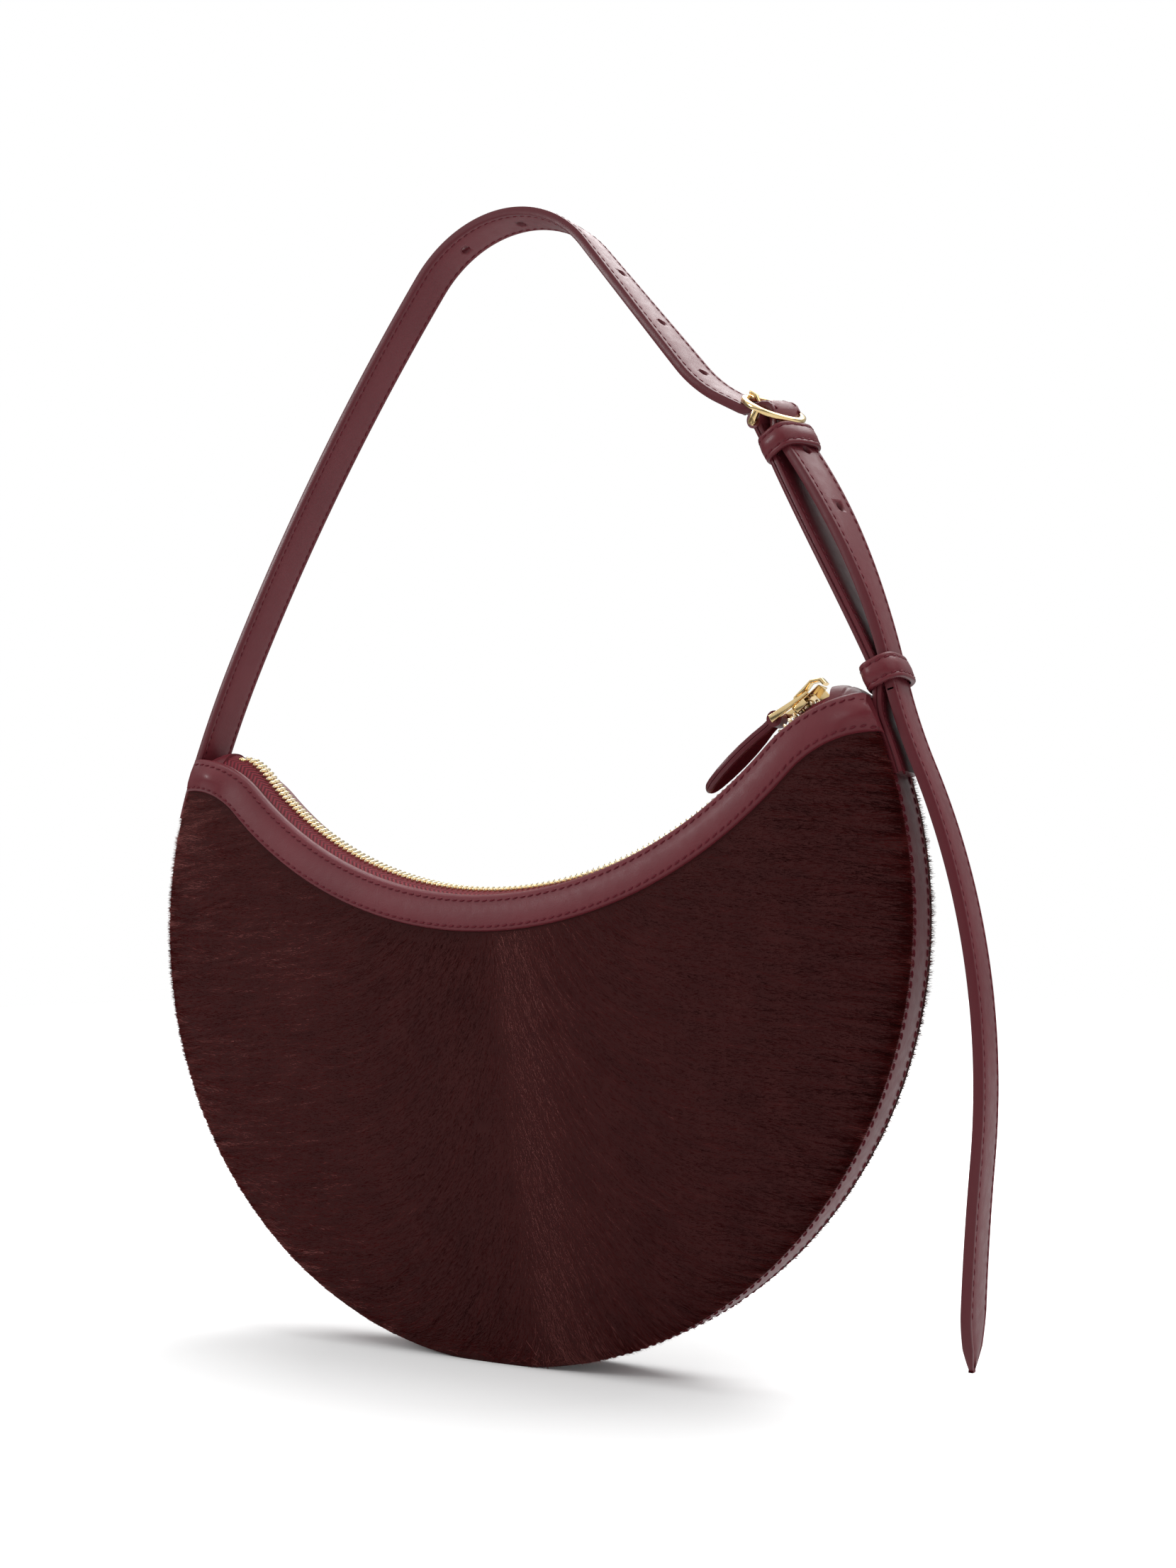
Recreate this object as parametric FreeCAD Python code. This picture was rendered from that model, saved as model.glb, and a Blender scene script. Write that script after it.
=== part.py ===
import FreeCAD, Part
import math
import os

# Half moon bag: two domed half-moon panels on a narrow gusset, a zipped mouth between two horns,
# and a shoulder strap that is sewn to the left horn and buckles to a short strap on the right horn.
# Millimetres. +X is to the right seen from the front, +Y is to the back, +Z is up.
# The origin is the middle of the small flat on which the bag rests.

# Body seen from the front
body_radius = 140.0
base_flat_depth = 0.8
mouth_height = 144.2
mouth_radius = 140.0
horn_rise = 53.3
horn_radius = 46.0
horn_tip_radius = 4.0

# Body seen from the side
gusset_width = 14.0
gusset_thickness = 2.0
panel_thickness = 1.8
panel_dome = 4.6
trim_width = 11.3
trim_thickness = 1.4
lining_thickness = 0.5

# Shares of the panel's dome: smaller and smaller copies of the outline, higher and higher
dome_centre_share = 0.5
dome_outline_shares = (0.95, 0.84, 0.66, 0.40)
dome_rise_shares = (0.36, 0.70, 0.91, 1.0)

# Zip along the mouth, and its ends on the horns
zip_lift = 0.6
zip_end_rise = 2.8
zip_end_radius = 30.0
tape_end_gap = 6.3
teeth_end_gap = 16.2
tape_thickness = 0.7
tooth_pitch = 2.1
tooth_length = 1.2
tooth_width = 2.6
tooth_height = 2.2
teeth_gap = 1.2
stop_length = 1.6
stop_setback = 0.6
end_tab_lift = 0.6
end_tab_gap = 1.1

# Zip slider, its bridge and its pull
slider_setback = 8.6
slider_lift = 0.6
slider_chord = 12.4
slider_lower_length = 4.8
slider_upper_length = 5.2
slider_width = 8.4
slider_plate = 1.0
slider_room_above = 1.3
slider_room_below = 4.4
slider_web = 0.8
slider_web_length = 3.4
flange_thickness = 0.8
flange_depth = 1.6
bridge_length = 9.4
bridge_height = 3.9
bridge_thickness = 1.2
bridge_width = 3.0
bridge_shift = 0.8
pull_wire = 1.3
pull_length = 12.7
pull_width = 6.7
pull_lean = 169.2
tab_length = 31.0
tab_width = 9.4
tab_neck_width = 4.4
tab_neck_length = 4.0
tab_layer = 1.6
tab_tip_radius = 2.6
tab_lean = 10.5

# Straps: the left run and the crown are as long as it takes to bring the buckle to its place
strap_width = 14.5
strap_thickness = 3.0
strap_leaving_angle = 2.2
strap_sewn_angle = 5.7
left_rise_length = 46.6
left_run_angle = 61.7
left_run_turn = -11.3
crown_turn = -104.4
right_run_length = 59.1
buckle_entry_length = 18.3
buckle_entry_turn = 21.0
buckle_flat_length = 14.4
buckle_inset = 27.6
buckle_stand = 93.5
buckle_exit_length = 10.3
buckle_exit_turn = -24.6
tail_middle_length = 28.7
tail_middle_turn = 9.2
tail_lower_length = 111.0
tail_lower_turn = -27.8
tail_end_length = 56.0
tail_end_turn = 4.0
tail_point_length = 13.0
tail_point_width = 3.0

# Punched holes, counted from the one that the prong goes through
hole_diameter = 3.2
hole_pitch_above = 24.3
hole_pitch_below = 21.5
holes_above = 6
holes_below = 2

# Round buckle with a heel bar on two lugs below its ring, and a prong
ring_outer = 20.8
ring_inner = 16.0
ring_thickness = 1.8
ring_round = 0.6
ring_ahead = 1.0
ring_gap = 0.2
bar_diameter = 2.0
bar_depth = 7.2
lug_length = 3.0
lug_setback = 0.2
lug_thickness = 2.0
prong_diameter = 1.6
prong_eye_wall = 1.2
prong_eye_width = 2.0
prong_hole_back = 4.9
prong_lean = 0.4
prong_bend_back = 7.6
prong_reach = 11.2
prong_rest_gap = 0.3

# Short strap that holds the buckle, and its sewn end on the right horn
chape_layer = 1.5
chape_bend_stand = 6.7
chape_bend_angle = 4.1
chape_bend_radius = 20.0
chape_sewn_angle = 5.8
prong_slot_length = 7.0

# Keepers
keeper_length = 8.0
keeper_wall = 1.6
upper_keeper_distance = 13.0
upper_keeper_reach = 12.2
lower_keeper_stand = 9.4
lower_keeper_place_angle = 2.5
lower_keeper_lean = 10.8
lower_keeper_inside = 7.2
lower_keeper_outside = 2.7

# Places where the leather bends when the strap swings and when the tail swings
fold_rise = 24.9
fold_half = 5.0
tail_fold_drop = 30.5
tail_fold_half = 3.0

# Clearances, and how far a cutting shape reaches past what it cuts
pin_clearance = 0.15
slide_clearance = 0.4
overrun = 5.0
reach = 600.0

# Places worked out from the sizes above
body_centre = FreeCAD.Vector(0, 0, body_radius - base_flat_depth)
mouth_centre = FreeCAD.Vector(0, 0, mouth_height + mouth_radius)
gusset_half = gusset_width / 2
strap_half = strap_width / 2
horn_height = mouth_height + horn_rise
horn_span = mouth_radius + horn_radius
horn_centre_height = horn_height - horn_radius
horn_centre_x = math.sqrt(horn_span ** 2 - (mouth_centre.z - horn_centre_height) ** 2)
horn_centre = FreeCAD.Vector(horn_centre_x, 0, horn_centre_height)


def ray(degrees):
    """Unit vector in the front view, turned counterclockwise from +X."""
    angle = math.radians(degrees)
    return FreeCAD.Vector(math.cos(angle), 0, math.sin(angle))


def bearing(vector):
    """Direction of a vector in the front view, in degrees."""
    return math.degrees(math.atan2(vector.z, vector.x))


def right_crossing(first, first_radius, second, second_radius):
    """Where two circles of the front view meet, on the right hand going from first to second."""
    apart = second - first
    gap = apart.Length
    along = (gap ** 2 + first_radius ** 2 - second_radius ** 2) / (2 * gap)
    aside = math.sqrt(first_radius ** 2 - along ** 2)
    heading = bearing(apart)
    return first + ray(heading) * along + ray(heading - 90) * aside


def arc(centre, radius, start, end):
    points = [centre + ray(angle) * radius for angle in (start, (start + end) / 2, end)]
    return Part.Arc(*points).toShape()


def prism(edges, near, far):
    """Solid over a closed outline of the front view, from near to far in Y."""
    face = Part.Face(Part.Wire(Part.__sortEdges__(edges)))
    face.translate(FreeCAD.Vector(0, near, 0))
    return face.extrude(FreeCAD.Vector(0, far - near, 0))


def block(u_low, u_high, v_low, v_high, half_width):
    """Box of a local frame: u ahead, v above, and Y across."""
    corner = FreeCAD.Vector(u_low, -half_width, v_low)
    return Part.makeBox(u_high - u_low, 2 * half_width, v_high - v_low, corner)


def pin(u, v, radius, half_width):
    """Round bar across a local frame."""
    start = FreeCAD.Vector(u, -half_width, v)
    return Part.makeCylinder(radius, 2 * half_width, start, FreeCAD.Vector(0, 1, 0))


def placed(shape, spot, heading):
    """Local shape with its u axis along heading in the front view."""
    turn = FreeCAD.Rotation(FreeCAD.Vector(0, 1, 0), -heading)
    moved = shape.copy()
    moved.Placement = FreeCAD.Placement(spot, turn)
    return moved


def behind(shape):
    """Mirror image of a front piece at the back."""
    return shape.mirror(FreeCAD.Vector(0, 0, 0), FreeCAD.Vector(0, 1, 0))


def leg_end(leg, distance):
    start, heading, length, turn = leg
    if turn == 0:
        return start + ray(heading) * distance, heading
    radius = length / math.radians(turn)
    centre = start + ray(heading + 90) * radius
    new_heading = heading + turn * distance / length
    return centre - ray(new_heading + 90) * radius, new_heading


def walk(start, heading, legs):
    """Path of straight and round legs, each a length and a turn in degrees, left positive."""
    path = []
    for length, turn in legs:
        path.append((start, heading, length, turn))
        start, heading = leg_end(path[-1], length)
    return path


def path_length(path):
    return sum(leg[2] for leg in path)


def station(path, distance):
    """Point and heading at a distance along a path."""
    for leg in path[:-1]:
        if distance <= leg[2]:
            return leg_end(leg, distance)
        distance -= leg[2]
    return leg_end(path[-1], distance)


def beside(path, offset):
    """Edges of a path moved to its left by offset."""
    edges = []
    for leg in path:
        stops = [leg_end(leg, leg[2] * share) for share in (0, 0.5, 1)]
        points = [spot + ray(heading + 90) * offset for spot, heading in stops]
        if leg[3] == 0:
            edges.append(Part.LineSegment(points[0], points[2]).toShape())
        else:
            edges.append(Part.Arc(*points).toShape())
    return edges


def strip(path, low, high, near, far):
    """Solid along a path, from low to high on its left and from near to far in Y."""
    lower = beside(path, low)
    upper = beside(path, high)
    ends = []
    for distance in (0, path_length(path)):
        spot, heading = station(path, distance)
        aside = ray(heading + 90)
        ends.append(Part.LineSegment(spot + aside * low, spot + aside * high).toShape())
    return prism(lower + upper + ends, near, far)


def between(shape, low, high, side=0):
    """Part of a shape between two heights, on the left (-1), right (1) or both sides (0)."""
    left = 0 if side > 0 else -reach
    right = 0 if side < 0 else reach
    room = Part.makeBox(right - left, 2 * reach, high - low, FreeCAD.Vector(left, -reach, low))
    return shape.common(room)


def largest(shape):
    return max(shape.Solids, key=lambda solid: solid.Volume)


# Body outline and panels

tip_body_reach = body_radius - horn_tip_radius
tip_horn_reach = horn_radius - horn_tip_radius
tip_centre = right_crossing(horn_centre, tip_horn_reach, body_centre, tip_body_reach)
tip_body_angle = bearing(tip_centre - body_centre)
tip_horn_angle = bearing(tip_centre - horn_centre)
horn_mouth_angle = bearing(mouth_centre - horn_centre)


def mirrored(centre):
    return FreeCAD.Vector(-centre.x, 0, centre.z)


def outline(inset=0.0):
    """Half-moon outline, moved in by inset: round base with a flat, horn tips, horns and mouth."""
    radius = body_radius - inset
    flat_angle = -90 + math.degrees(math.acos((body_centre.z - inset) / radius))
    horn = horn_radius - inset
    tip = horn_tip_radius - inset
    flat = [body_centre + ray(angle) * radius for angle in (flat_angle, 180 - flat_angle)]
    return [
        arc(body_centre, radius, flat_angle, tip_body_angle),
        arc(tip_centre, tip, tip_body_angle, tip_horn_angle),
        arc(horn_centre, horn, tip_horn_angle, horn_mouth_angle),
        arc(mouth_centre, mouth_radius + inset, horn_mouth_angle - 180, -horn_mouth_angle),
        arc(mirrored(horn_centre), horn, 180 - horn_mouth_angle, 180 - tip_horn_angle),
        arc(mirrored(tip_centre), tip, 180 - tip_horn_angle, 180 - tip_body_angle),
        arc(body_centre, radius, 180 - tip_body_angle, 180 - flat_angle),
        Part.LineSegment(flat[1], flat[0]).toShape(),
    ]


def outline_wire(inset, share, y):
    wire = Part.Wire(outline(inset))
    wire.scale(share, FreeCAD.Vector(0, 0, mouth_height * dome_centre_share))
    wire.translate(FreeCAD.Vector(0, y, 0))
    return wire


def dome(rim_inset, rim_depth):
    """Front pillow from the gusset's edge outwards: a straight rim, then the dome."""
    wires = [outline_wire(rim_inset, 1.0, -gusset_half)]
    if rim_depth:
        wires.append(outline_wire(rim_inset, 1.0, -gusset_half - rim_depth))
    for share, rise in zip(dome_outline_shares, dome_rise_shares):
        wires.append(outline_wire(0.0, share, -gusset_half - rim_depth - panel_dome * rise))
    return Part.makeLoft(wires, True, True)


panel_inside = dome(gusset_thickness, 0.0)
panel_outside = dome(0.0, panel_thickness)


def front_panel():
    return panel_outside.cut(panel_inside)


def front_lining():
    """Cloth on the panel's inside, as thick along Y all over."""
    moved = panel_inside.copy()
    moved.translate(FreeCAD.Vector(0, lining_thickness, 0))
    return largest(panel_inside.cut(moved))


def front_top_trim():
    """Leather band on the panel along the mouth, over both horns."""
    lower_horn = horn_radius - trim_width
    left_top = mirrored(horn_centre) + ray(90) * lower_horn
    right_top = horn_centre + ray(90) * lower_horn
    corners = [
        FreeCAD.Vector(-reach, 0, left_top.z),
        FreeCAD.Vector(-reach, 0, reach),
        FreeCAD.Vector(reach, 0, reach),
        FreeCAD.Vector(reach, 0, right_top.z),
    ]
    edges = [
        arc(horn_centre, lower_horn, 90, horn_mouth_angle),
        arc(mouth_centre, mouth_radius + trim_width, horn_mouth_angle - 180, -horn_mouth_angle),
        arc(mirrored(horn_centre), lower_horn, 180 - horn_mouth_angle, 90),
    ]
    points = [left_top] + corners + [right_top]
    for start, end in zip(points, points[1:]):
        edges.append(Part.LineSegment(start, end).toShape())
    band = prism(edges, -reach, 0)
    cover = dome(0.0, panel_thickness + trim_thickness)
    return largest(cover.cut(panel_outside).common(band))


def round_strip(outer, inner):
    """Strip round the base from horn tip to horn tip, between two radii."""
    start, end = tip_body_angle, 180 - tip_body_angle
    edges = [arc(body_centre, radius, start, end - 360) for radius in (outer, inner)]
    for angle in (start, end):
        points = [body_centre + ray(angle) * radius for radius in (outer, inner)]
        edges.append(Part.LineSegment(*points).toShape())
    return prism(edges, -gusset_half, gusset_half)


def gusset():
    """Gusset, flat where the bag rests."""
    return between(round_strip(body_radius, body_radius - gusset_thickness), 0, reach)


def gusset_lining():
    outer = body_radius - gusset_thickness
    return round_strip(outer, outer - lining_thickness)


# Zip

zip_hollow = mouth_radius - zip_lift
zip_span = zip_hollow + zip_end_radius
zip_end_height = horn_height + zip_end_rise - zip_end_radius
zip_steepest = math.degrees(math.acos((mouth_centre.z - zip_end_height) / zip_span))
zip_end_centre = mouth_centre + ray(zip_steepest - 90) * zip_span
zip_hollow_reach = zip_hollow * math.radians(zip_steepest)


def zip_reach(spot):
    """Distance along the zip from its middle to the place nearest a spot of the right horn."""
    slope = bearing(spot - zip_end_centre) - 90
    if slope > zip_steepest:
        return zip_hollow * math.radians(bearing(spot - mouth_centre) + 90)
    return zip_hollow_reach + zip_end_radius * math.radians(zip_steepest - slope)


def zip_path(half):
    """Middle of the teeth, as far as half to either side: hollow, and round where it goes over the horns."""
    hollow_half = min(half, zip_hollow_reach)
    hollow_turn = math.degrees(hollow_half / zip_hollow)
    end_turn = math.degrees((half - hollow_half) / zip_end_radius)
    hollow_end = mouth_centre + ray(hollow_turn - 90) * zip_hollow
    end_leg = (half - hollow_half, -end_turn)
    start, heading = leg_end((hollow_end, hollow_turn) + end_leg, end_leg[0])
    legs = [end_leg, (2 * hollow_half, 2 * hollow_turn), end_leg]
    return walk(mirrored(start), -heading, [leg for leg in legs if leg[0] > 0])


tip_reach = zip_reach(tip_centre)
zip_run = zip_path(tip_reach - tape_end_gap)
zip_length = path_length(zip_run)
teeth_setback = teeth_end_gap - tape_end_gap
tape_bottom = -tooth_height / 2 - tape_thickness
tape_top = -tooth_height / 2


def front_zip_tape():
    return strip(zip_run, tape_bottom, tape_top, -gusset_half, -teeth_gap / 2)


def on_zip(length, distance, half_width, centre_y):
    """Small block that stands on the tape."""
    spot, heading = station(zip_run, distance)
    shape = block(-length / 2, length / 2, tape_top, -tape_top, half_width)
    moved = placed(shape, spot, heading)
    moved.translate(FreeCAD.Vector(0, centre_y, 0))
    return moved


def teeth_row(side, shift):
    count = int((zip_length - 2 * teeth_setback) / tooth_pitch)
    centre_y = side * (teeth_gap + tooth_width) / 2
    starts = [teeth_setback + (number + shift) * tooth_pitch for number in range(count)]
    teeth = [on_zip(tooth_length, start, tooth_width / 2, centre_y) for start in starts]
    return Part.makeCompound(teeth)


def zip_stops():
    """Two stops where the zip closes, one for each row, and one across both rows where it opens."""
    closed = zip_length - stop_setback - stop_length / 2
    opened = teeth_setback - tooth_pitch - stop_length / 2
    apart = (teeth_gap + tooth_width) / 2
    stops = [on_zip(stop_length, closed, tooth_width / 2, side * apart) for side in (-1, 1)]
    stops.append(on_zip(stop_length, opened, teeth_gap / 2 + tooth_width, 0.0))
    return Part.makeCompound(stops)


def zip_end_tab_right():
    """Leather patch that closes the top of the horn past the tape's end."""
    spot, heading = station(zip_run, zip_length)
    length = tape_end_gap - end_tab_gap
    path = walk(spot, heading, [(length, -math.degrees(length / zip_end_radius))])
    return strip(path, tape_bottom, end_tab_lift, -gusset_half, gusset_half)


def zip_end_tab_left():
    return zip_end_tab_right().mirror(FreeCAD.Vector(0, 0, 0), FreeCAD.Vector(1, 0, 0))


# Slider and pull, in the slider's own frame: u up the zip, v away from it

slider_station = zip_length - slider_setback
zip_at_slider, zip_heading = station(zip_run, slider_station)
zip_below_slider, lower_heading = station(zip_run, slider_station - slider_chord)
slider_angle = bearing(zip_at_slider - zip_below_slider)
slider_spot = zip_at_slider + ray(zip_heading + 90) * slider_lift
slider_top = slider_room_above + slider_plate
pivot_u = bridge_shift
pivot_v = slider_top + slide_clearance + pull_wire / 2
pull_pivot = slider_spot + ray(slider_angle) * pivot_u + ray(slider_angle + 90) * pivot_v
pull_angle = slider_angle + pull_lean
tab_angle = pull_angle + tab_lean
tab_pivot = pull_pivot + ray(pull_angle) * pull_length


def three_point_arc(points):
    return Part.Arc(*[FreeCAD.Vector(u, 0, v) for u, v in points]).toShape()


def bridge():
    """Arched band over the slider that the pull hangs in."""
    half = bridge_length / 2
    inner_half = half - bridge_thickness
    inner_height = bridge_height - bridge_thickness
    outer = [(-half, 0), (0, bridge_height), (half, 0)]
    inner = [(-inner_half, 0), (0, inner_height), (inner_half, 0)]
    edges = [three_point_arc(outer), three_point_arc(inner)]
    for sign in (-1, 1):
        start = FreeCAD.Vector(sign * half, 0, 0)
        end = FreeCAD.Vector(sign * inner_half, 0, 0)
        edges.append(Part.LineSegment(start, end).toShape())
    shape = prism(edges, -bridge_width / 2, bridge_width / 2)
    shape.translate(FreeCAD.Vector(bridge_shift, 0, slider_top))
    return shape


def zip_slider():
    half = slider_width / 2
    low, high = -slider_lower_length, slider_upper_length
    shape = block(low, high, slider_room_above, slider_top, half)
    shape = shape.fuse(block(low, high, -slider_room_below - slider_plate, -slider_room_below, half))
    web_low = high - slider_web_length
    shape = shape.fuse(block(web_low, high, -slider_room_below, slider_room_above, slider_web / 2))
    flange_low = slider_room_above - flange_depth
    for sign in (-1, 1):
        flange = block(low, high, flange_low, slider_room_above, flange_thickness / 2)
        flange.translate(FreeCAD.Vector(0, sign * (half - flange_thickness / 2), 0))
        shape = shape.fuse(flange)
    shape = shape.fuse(bridge()).removeSplitter()
    return placed(shape, slider_spot, slider_angle)


def wire_run(points, diameter):
    """Round wire through points, with round corners."""
    radius = diameter / 2
    shape = Part.makeSphere(radius, points[0])
    for start, end in zip(points, points[1:]):
        run = end - start
        shape = shape.fuse(Part.makeCylinder(radius, run.Length, start, run))
        shape = shape.fuse(Part.makeSphere(radius, end))
    return shape.removeSplitter()


def pull_bar():
    """Closed wire loop from the bridge to the leather tab."""
    half = pull_width / 2
    corners = [(0, -half), (pull_length, -half), (pull_length, half), (0, half), (0, -half)]
    loop = wire_run([FreeCAD.Vector(u, y, 0) for u, y in corners], pull_wire)
    return placed(loop, pull_pivot, pull_angle)


def pull_tab():
    """Leaf-shaped tab of two layers, folded round the loop's far end."""
    bore = pull_wire / 2 + pin_clearance
    outside = bore + tab_layer
    half = tab_width / 2
    neck = tab_neck_width / 2
    tip = tab_length - tab_tip_radius
    plan = [
        (0, -neck), (tab_neck_length, -neck), (tab_neck_length + half, -half),
        (tab_length / 2, -half), (tip, -tab_tip_radius),
        (tip, tab_tip_radius), (tab_length / 2, half),
        (tab_neck_length + half, half), (tab_neck_length, neck), (0, neck),
    ]
    corners = [FreeCAD.Vector(u, y, -tab_layer) for u, y in plan]
    face = Part.Face(Part.makePolygon(corners + corners[:1]))
    leaf = face.extrude(FreeCAD.Vector(0, 0, 2 * tab_layer))
    centre = FreeCAD.Vector(tip, 0, -tab_layer)
    leaf = leaf.fuse(Part.makeCylinder(tab_tip_radius, 2 * tab_layer, centre))
    shape = leaf.fuse(pin(0, 0, outside, neck)).cut(pin(0, 0, bore, neck + overrun))
    return placed(shape.removeSplitter(), tab_pivot, tab_angle)


# Long strap: sewn end, arch, through the buckle, and tail

strap_circle = body_radius + strap_thickness / 2


def arc_to(spot, heading, end):
    """Length and turn of the one arc that leaves a spot at a heading and meets the end."""
    chord = end - spot
    turn = 2 * (bearing(chord) - heading)
    half_turn = math.radians(turn / 2)
    return chord.Length * half_turn / math.sin(half_turn), turn


lower_keeper_bearing = tip_body_angle + lower_keeper_place_angle
lower_keeper_spot = body_centre + ray(lower_keeper_bearing) * (body_radius + lower_keeper_stand)


def along_both(gap, first, second):
    """How far to go along two directions of the front view to cross a gap."""
    across = first.x * second.z - first.z * second.x
    return (gap.x * second.z - gap.z * second.x) / across, (first.x * gap.z - first.z * gap.x) / across


def strap_path():
    """From the sewn end on the left horn, over the crown and through the buckle to the tail's tip."""
    leaving = tip_body_angle - strap_leaving_angle
    sewn = leaving - strap_sewn_angle
    start = body_centre + ray(180 - sewn) * strap_circle
    left = walk(start, 90 - sewn, [
        (strap_circle * math.radians(strap_sewn_angle), -strap_sewn_angle),
        (left_rise_length, left_run_angle + leaving - 90),
    ])
    run_start = leg_end(left[-1], left_rise_length)[0]
    crown_angle = left_run_angle + left_run_turn
    right = [(right_run_length, 0), (buckle_entry_length, buckle_entry_turn), (buckle_flat_length, 0)]
    right_reach = leg_end(walk(FreeCAD.Vector(), crown_angle + crown_turn, right)[-1], buckle_flat_length)[0]
    buckle_spot = tip_centre + FreeCAD.Vector(-buckle_inset, 0, buckle_stand)
    run_reach = leg_end((FreeCAD.Vector(), left_run_angle, 1, left_run_turn), 1)[0]
    crown_reach = leg_end((FreeCAD.Vector(), crown_angle, 1, crown_turn), 1)[0]
    run_length, crown_length = along_both(buckle_spot - right_reach - run_start, run_reach, crown_reach)
    arch = [(run_length, left_run_turn), (crown_length, crown_turn)] + right
    upper = left + walk(run_start, left_run_angle, arch + [(buckle_exit_length, buckle_exit_turn)])
    spot, heading = leg_end(upper[-1], buckle_exit_length)
    legs = [
        arc_to(spot, heading, lower_keeper_spot),
        (tail_middle_length, tail_middle_turn),
        (tail_lower_length, tail_lower_turn),
        (tail_end_length, tail_end_turn),
    ]
    return upper + walk(spot, heading, legs)


strap_run = strap_path()
buckle_station = path_length(strap_run[:7])
strap_at_buckle, buckle_heading = station(strap_run, buckle_station)
lower_keeper_angle = strap_run[9][1] + lower_keeper_lean
strap_depth = ring_thickness / 2 + ring_gap + strap_thickness / 2
ring_centre = strap_at_buckle + ray(buckle_heading) * ring_ahead + ray(buckle_heading + 90) * strap_depth
prong_station = buckle_station + ring_ahead - prong_hole_back
bar_spot = ring_centre - ray(buckle_heading + 90) * bar_depth


def hole(distance):
    spot, heading = station(strap_run, distance)
    up = ray(heading + 90)
    length = strap_thickness + 2 * overrun
    return Part.makeCylinder(hole_diameter / 2, length, spot - up * (length / 2), up)


def whole_strap():
    """Long strap in one piece, with its punched holes and its pointed tip."""
    low = -strap_thickness / 2
    shape = strip(strap_run, low, -low, -strap_half, strap_half)
    for number in range(-holes_above, holes_below + 1):
        pitch = hole_pitch_above if number < 0 else hole_pitch_below
        shape = shape.cut(hole(prong_station + number * pitch))
    spot, heading = station(strap_run, path_length(strap_run))
    for sign in (-1, 1):
        plan = [
            (overrun, sign * tail_point_width / 2),
            (0, sign * tail_point_width / 2),
            (-tail_point_length, sign * strap_half),
            (-tail_point_length, sign * (strap_half + overrun)),
            (overrun, sign * (strap_half + overrun)),
        ]
        corners = [FreeCAD.Vector(u, y, -overrun) for u, y in plan]
        face = Part.Face(Part.makePolygon(corners + corners[:1]))
        corner = face.extrude(FreeCAD.Vector(0, 0, 2 * overrun))
        shape = shape.cut(placed(corner, spot, heading))
    return shape


# Short strap on the right horn

chape_thickness = 2 * chape_layer
chape_circle = body_radius + chape_thickness / 2


bend_bearing = tip_body_angle + chape_bend_angle
bend_spot = body_centre + ray(bend_bearing) * (body_radius + chape_bend_stand)
chape_straight = bend_spot - bar_spot
chape_heading = bearing(chape_straight)


def chape_path():
    """From the heel bar down, in towards the gusset in a double bend, and along it."""
    first = bend_spot + ray(chape_heading - 90) * chape_bend_radius
    second = right_crossing(body_centre, chape_circle + chape_bend_radius, first, 2 * chape_bend_radius)
    middle_heading = bearing(second - first) - 90
    landing = bearing(second - body_centre)
    first_turn = middle_heading - chape_heading
    second_turn = landing - 90 - middle_heading
    legs = [
        (chape_straight.Length, 0),
        (chape_bend_radius * math.radians(-first_turn), first_turn),
        (chape_bend_radius * math.radians(second_turn), second_turn),
        (chape_circle * math.radians(chape_sewn_angle), -chape_sewn_angle),
    ]
    return walk(bar_spot, chape_heading, legs)


def whole_chape():
    """Doubled strap folded round the heel bar, with a slot for the prong."""
    bore = bar_diameter / 2 + pin_clearance
    shape = strip(chape_path(), -chape_layer, chape_layer, -strap_half, strap_half)
    loop = placed(pin(0, 0, bore + chape_layer, strap_half), bar_spot, chape_heading)
    shape = shape.fuse(loop).cut(placed(pin(0, 0, bore, strap_half + overrun), bar_spot, chape_heading))
    slot_half = prong_eye_width / 2 + slide_clearance
    slot = block(-overrun, prong_slot_length, -overrun, overrun, slot_half)
    return shape.cut(placed(slot, bar_spot, chape_heading)).removeSplitter()


# Buckle, in the ring's own frame: u down the strap, v out of the ring

def buckle_frame():
    height = FreeCAD.Vector(0, 0, -ring_thickness / 2)
    ring = Part.makeCylinder(ring_outer / 2, ring_thickness, height)
    ring = ring.cut(Part.makeCylinder(ring_inner / 2, ring_thickness, height))
    ring = ring.makeFillet(ring_round, ring.Edges[:1] + [edge for edge in ring.Edges[1:] if edge.Closed])
    lug_outer = ring_outer / 2 - lug_setback
    bar_half = lug_outer
    shape = ring
    for sign in (-1, 1):
        lug = block(-lug_length / 2, lug_length / 2, -bar_depth - lug_length / 2, 0, lug_thickness / 2)
        lug.translate(FreeCAD.Vector(0, sign * (lug_outer - lug_thickness / 2), 0))
        shape = shape.fuse(lug)
    shape = shape.fuse(pin(0, -bar_depth, bar_diameter / 2, bar_half))
    return placed(shape.removeSplitter(), ring_centre, buckle_heading)


def buckle_prong():
    """Prong with an eye on the heel bar, up through the strap's hole and over the ring's upper end."""
    bore = bar_diameter / 2 + pin_clearance
    eye = bore + prong_eye_wall
    half = prong_diameter / 2
    rest = ring_thickness / 2 + prong_rest_gap + half
    below = -strap_depth - strap_thickness / 2 - half
    above = -strap_depth + strap_thickness / 2 + half
    run = [
        (-bore - prong_eye_wall / 2, -bar_depth),
        (-prong_hole_back + prong_lean, below),
        (-prong_hole_back - prong_lean, above),
        (-prong_bend_back, rest),
        (-prong_reach, rest),
    ]
    shape = wire_run([FreeCAD.Vector(u, 0, v) for u, v in run], prong_diameter)
    shape = shape.fuse(pin(0, -bar_depth, eye, prong_eye_width / 2))
    shape = shape.cut(pin(0, -bar_depth, bore, prong_eye_width + overrun))
    return placed(shape.removeSplitter(), ring_centre, buckle_heading)


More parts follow.
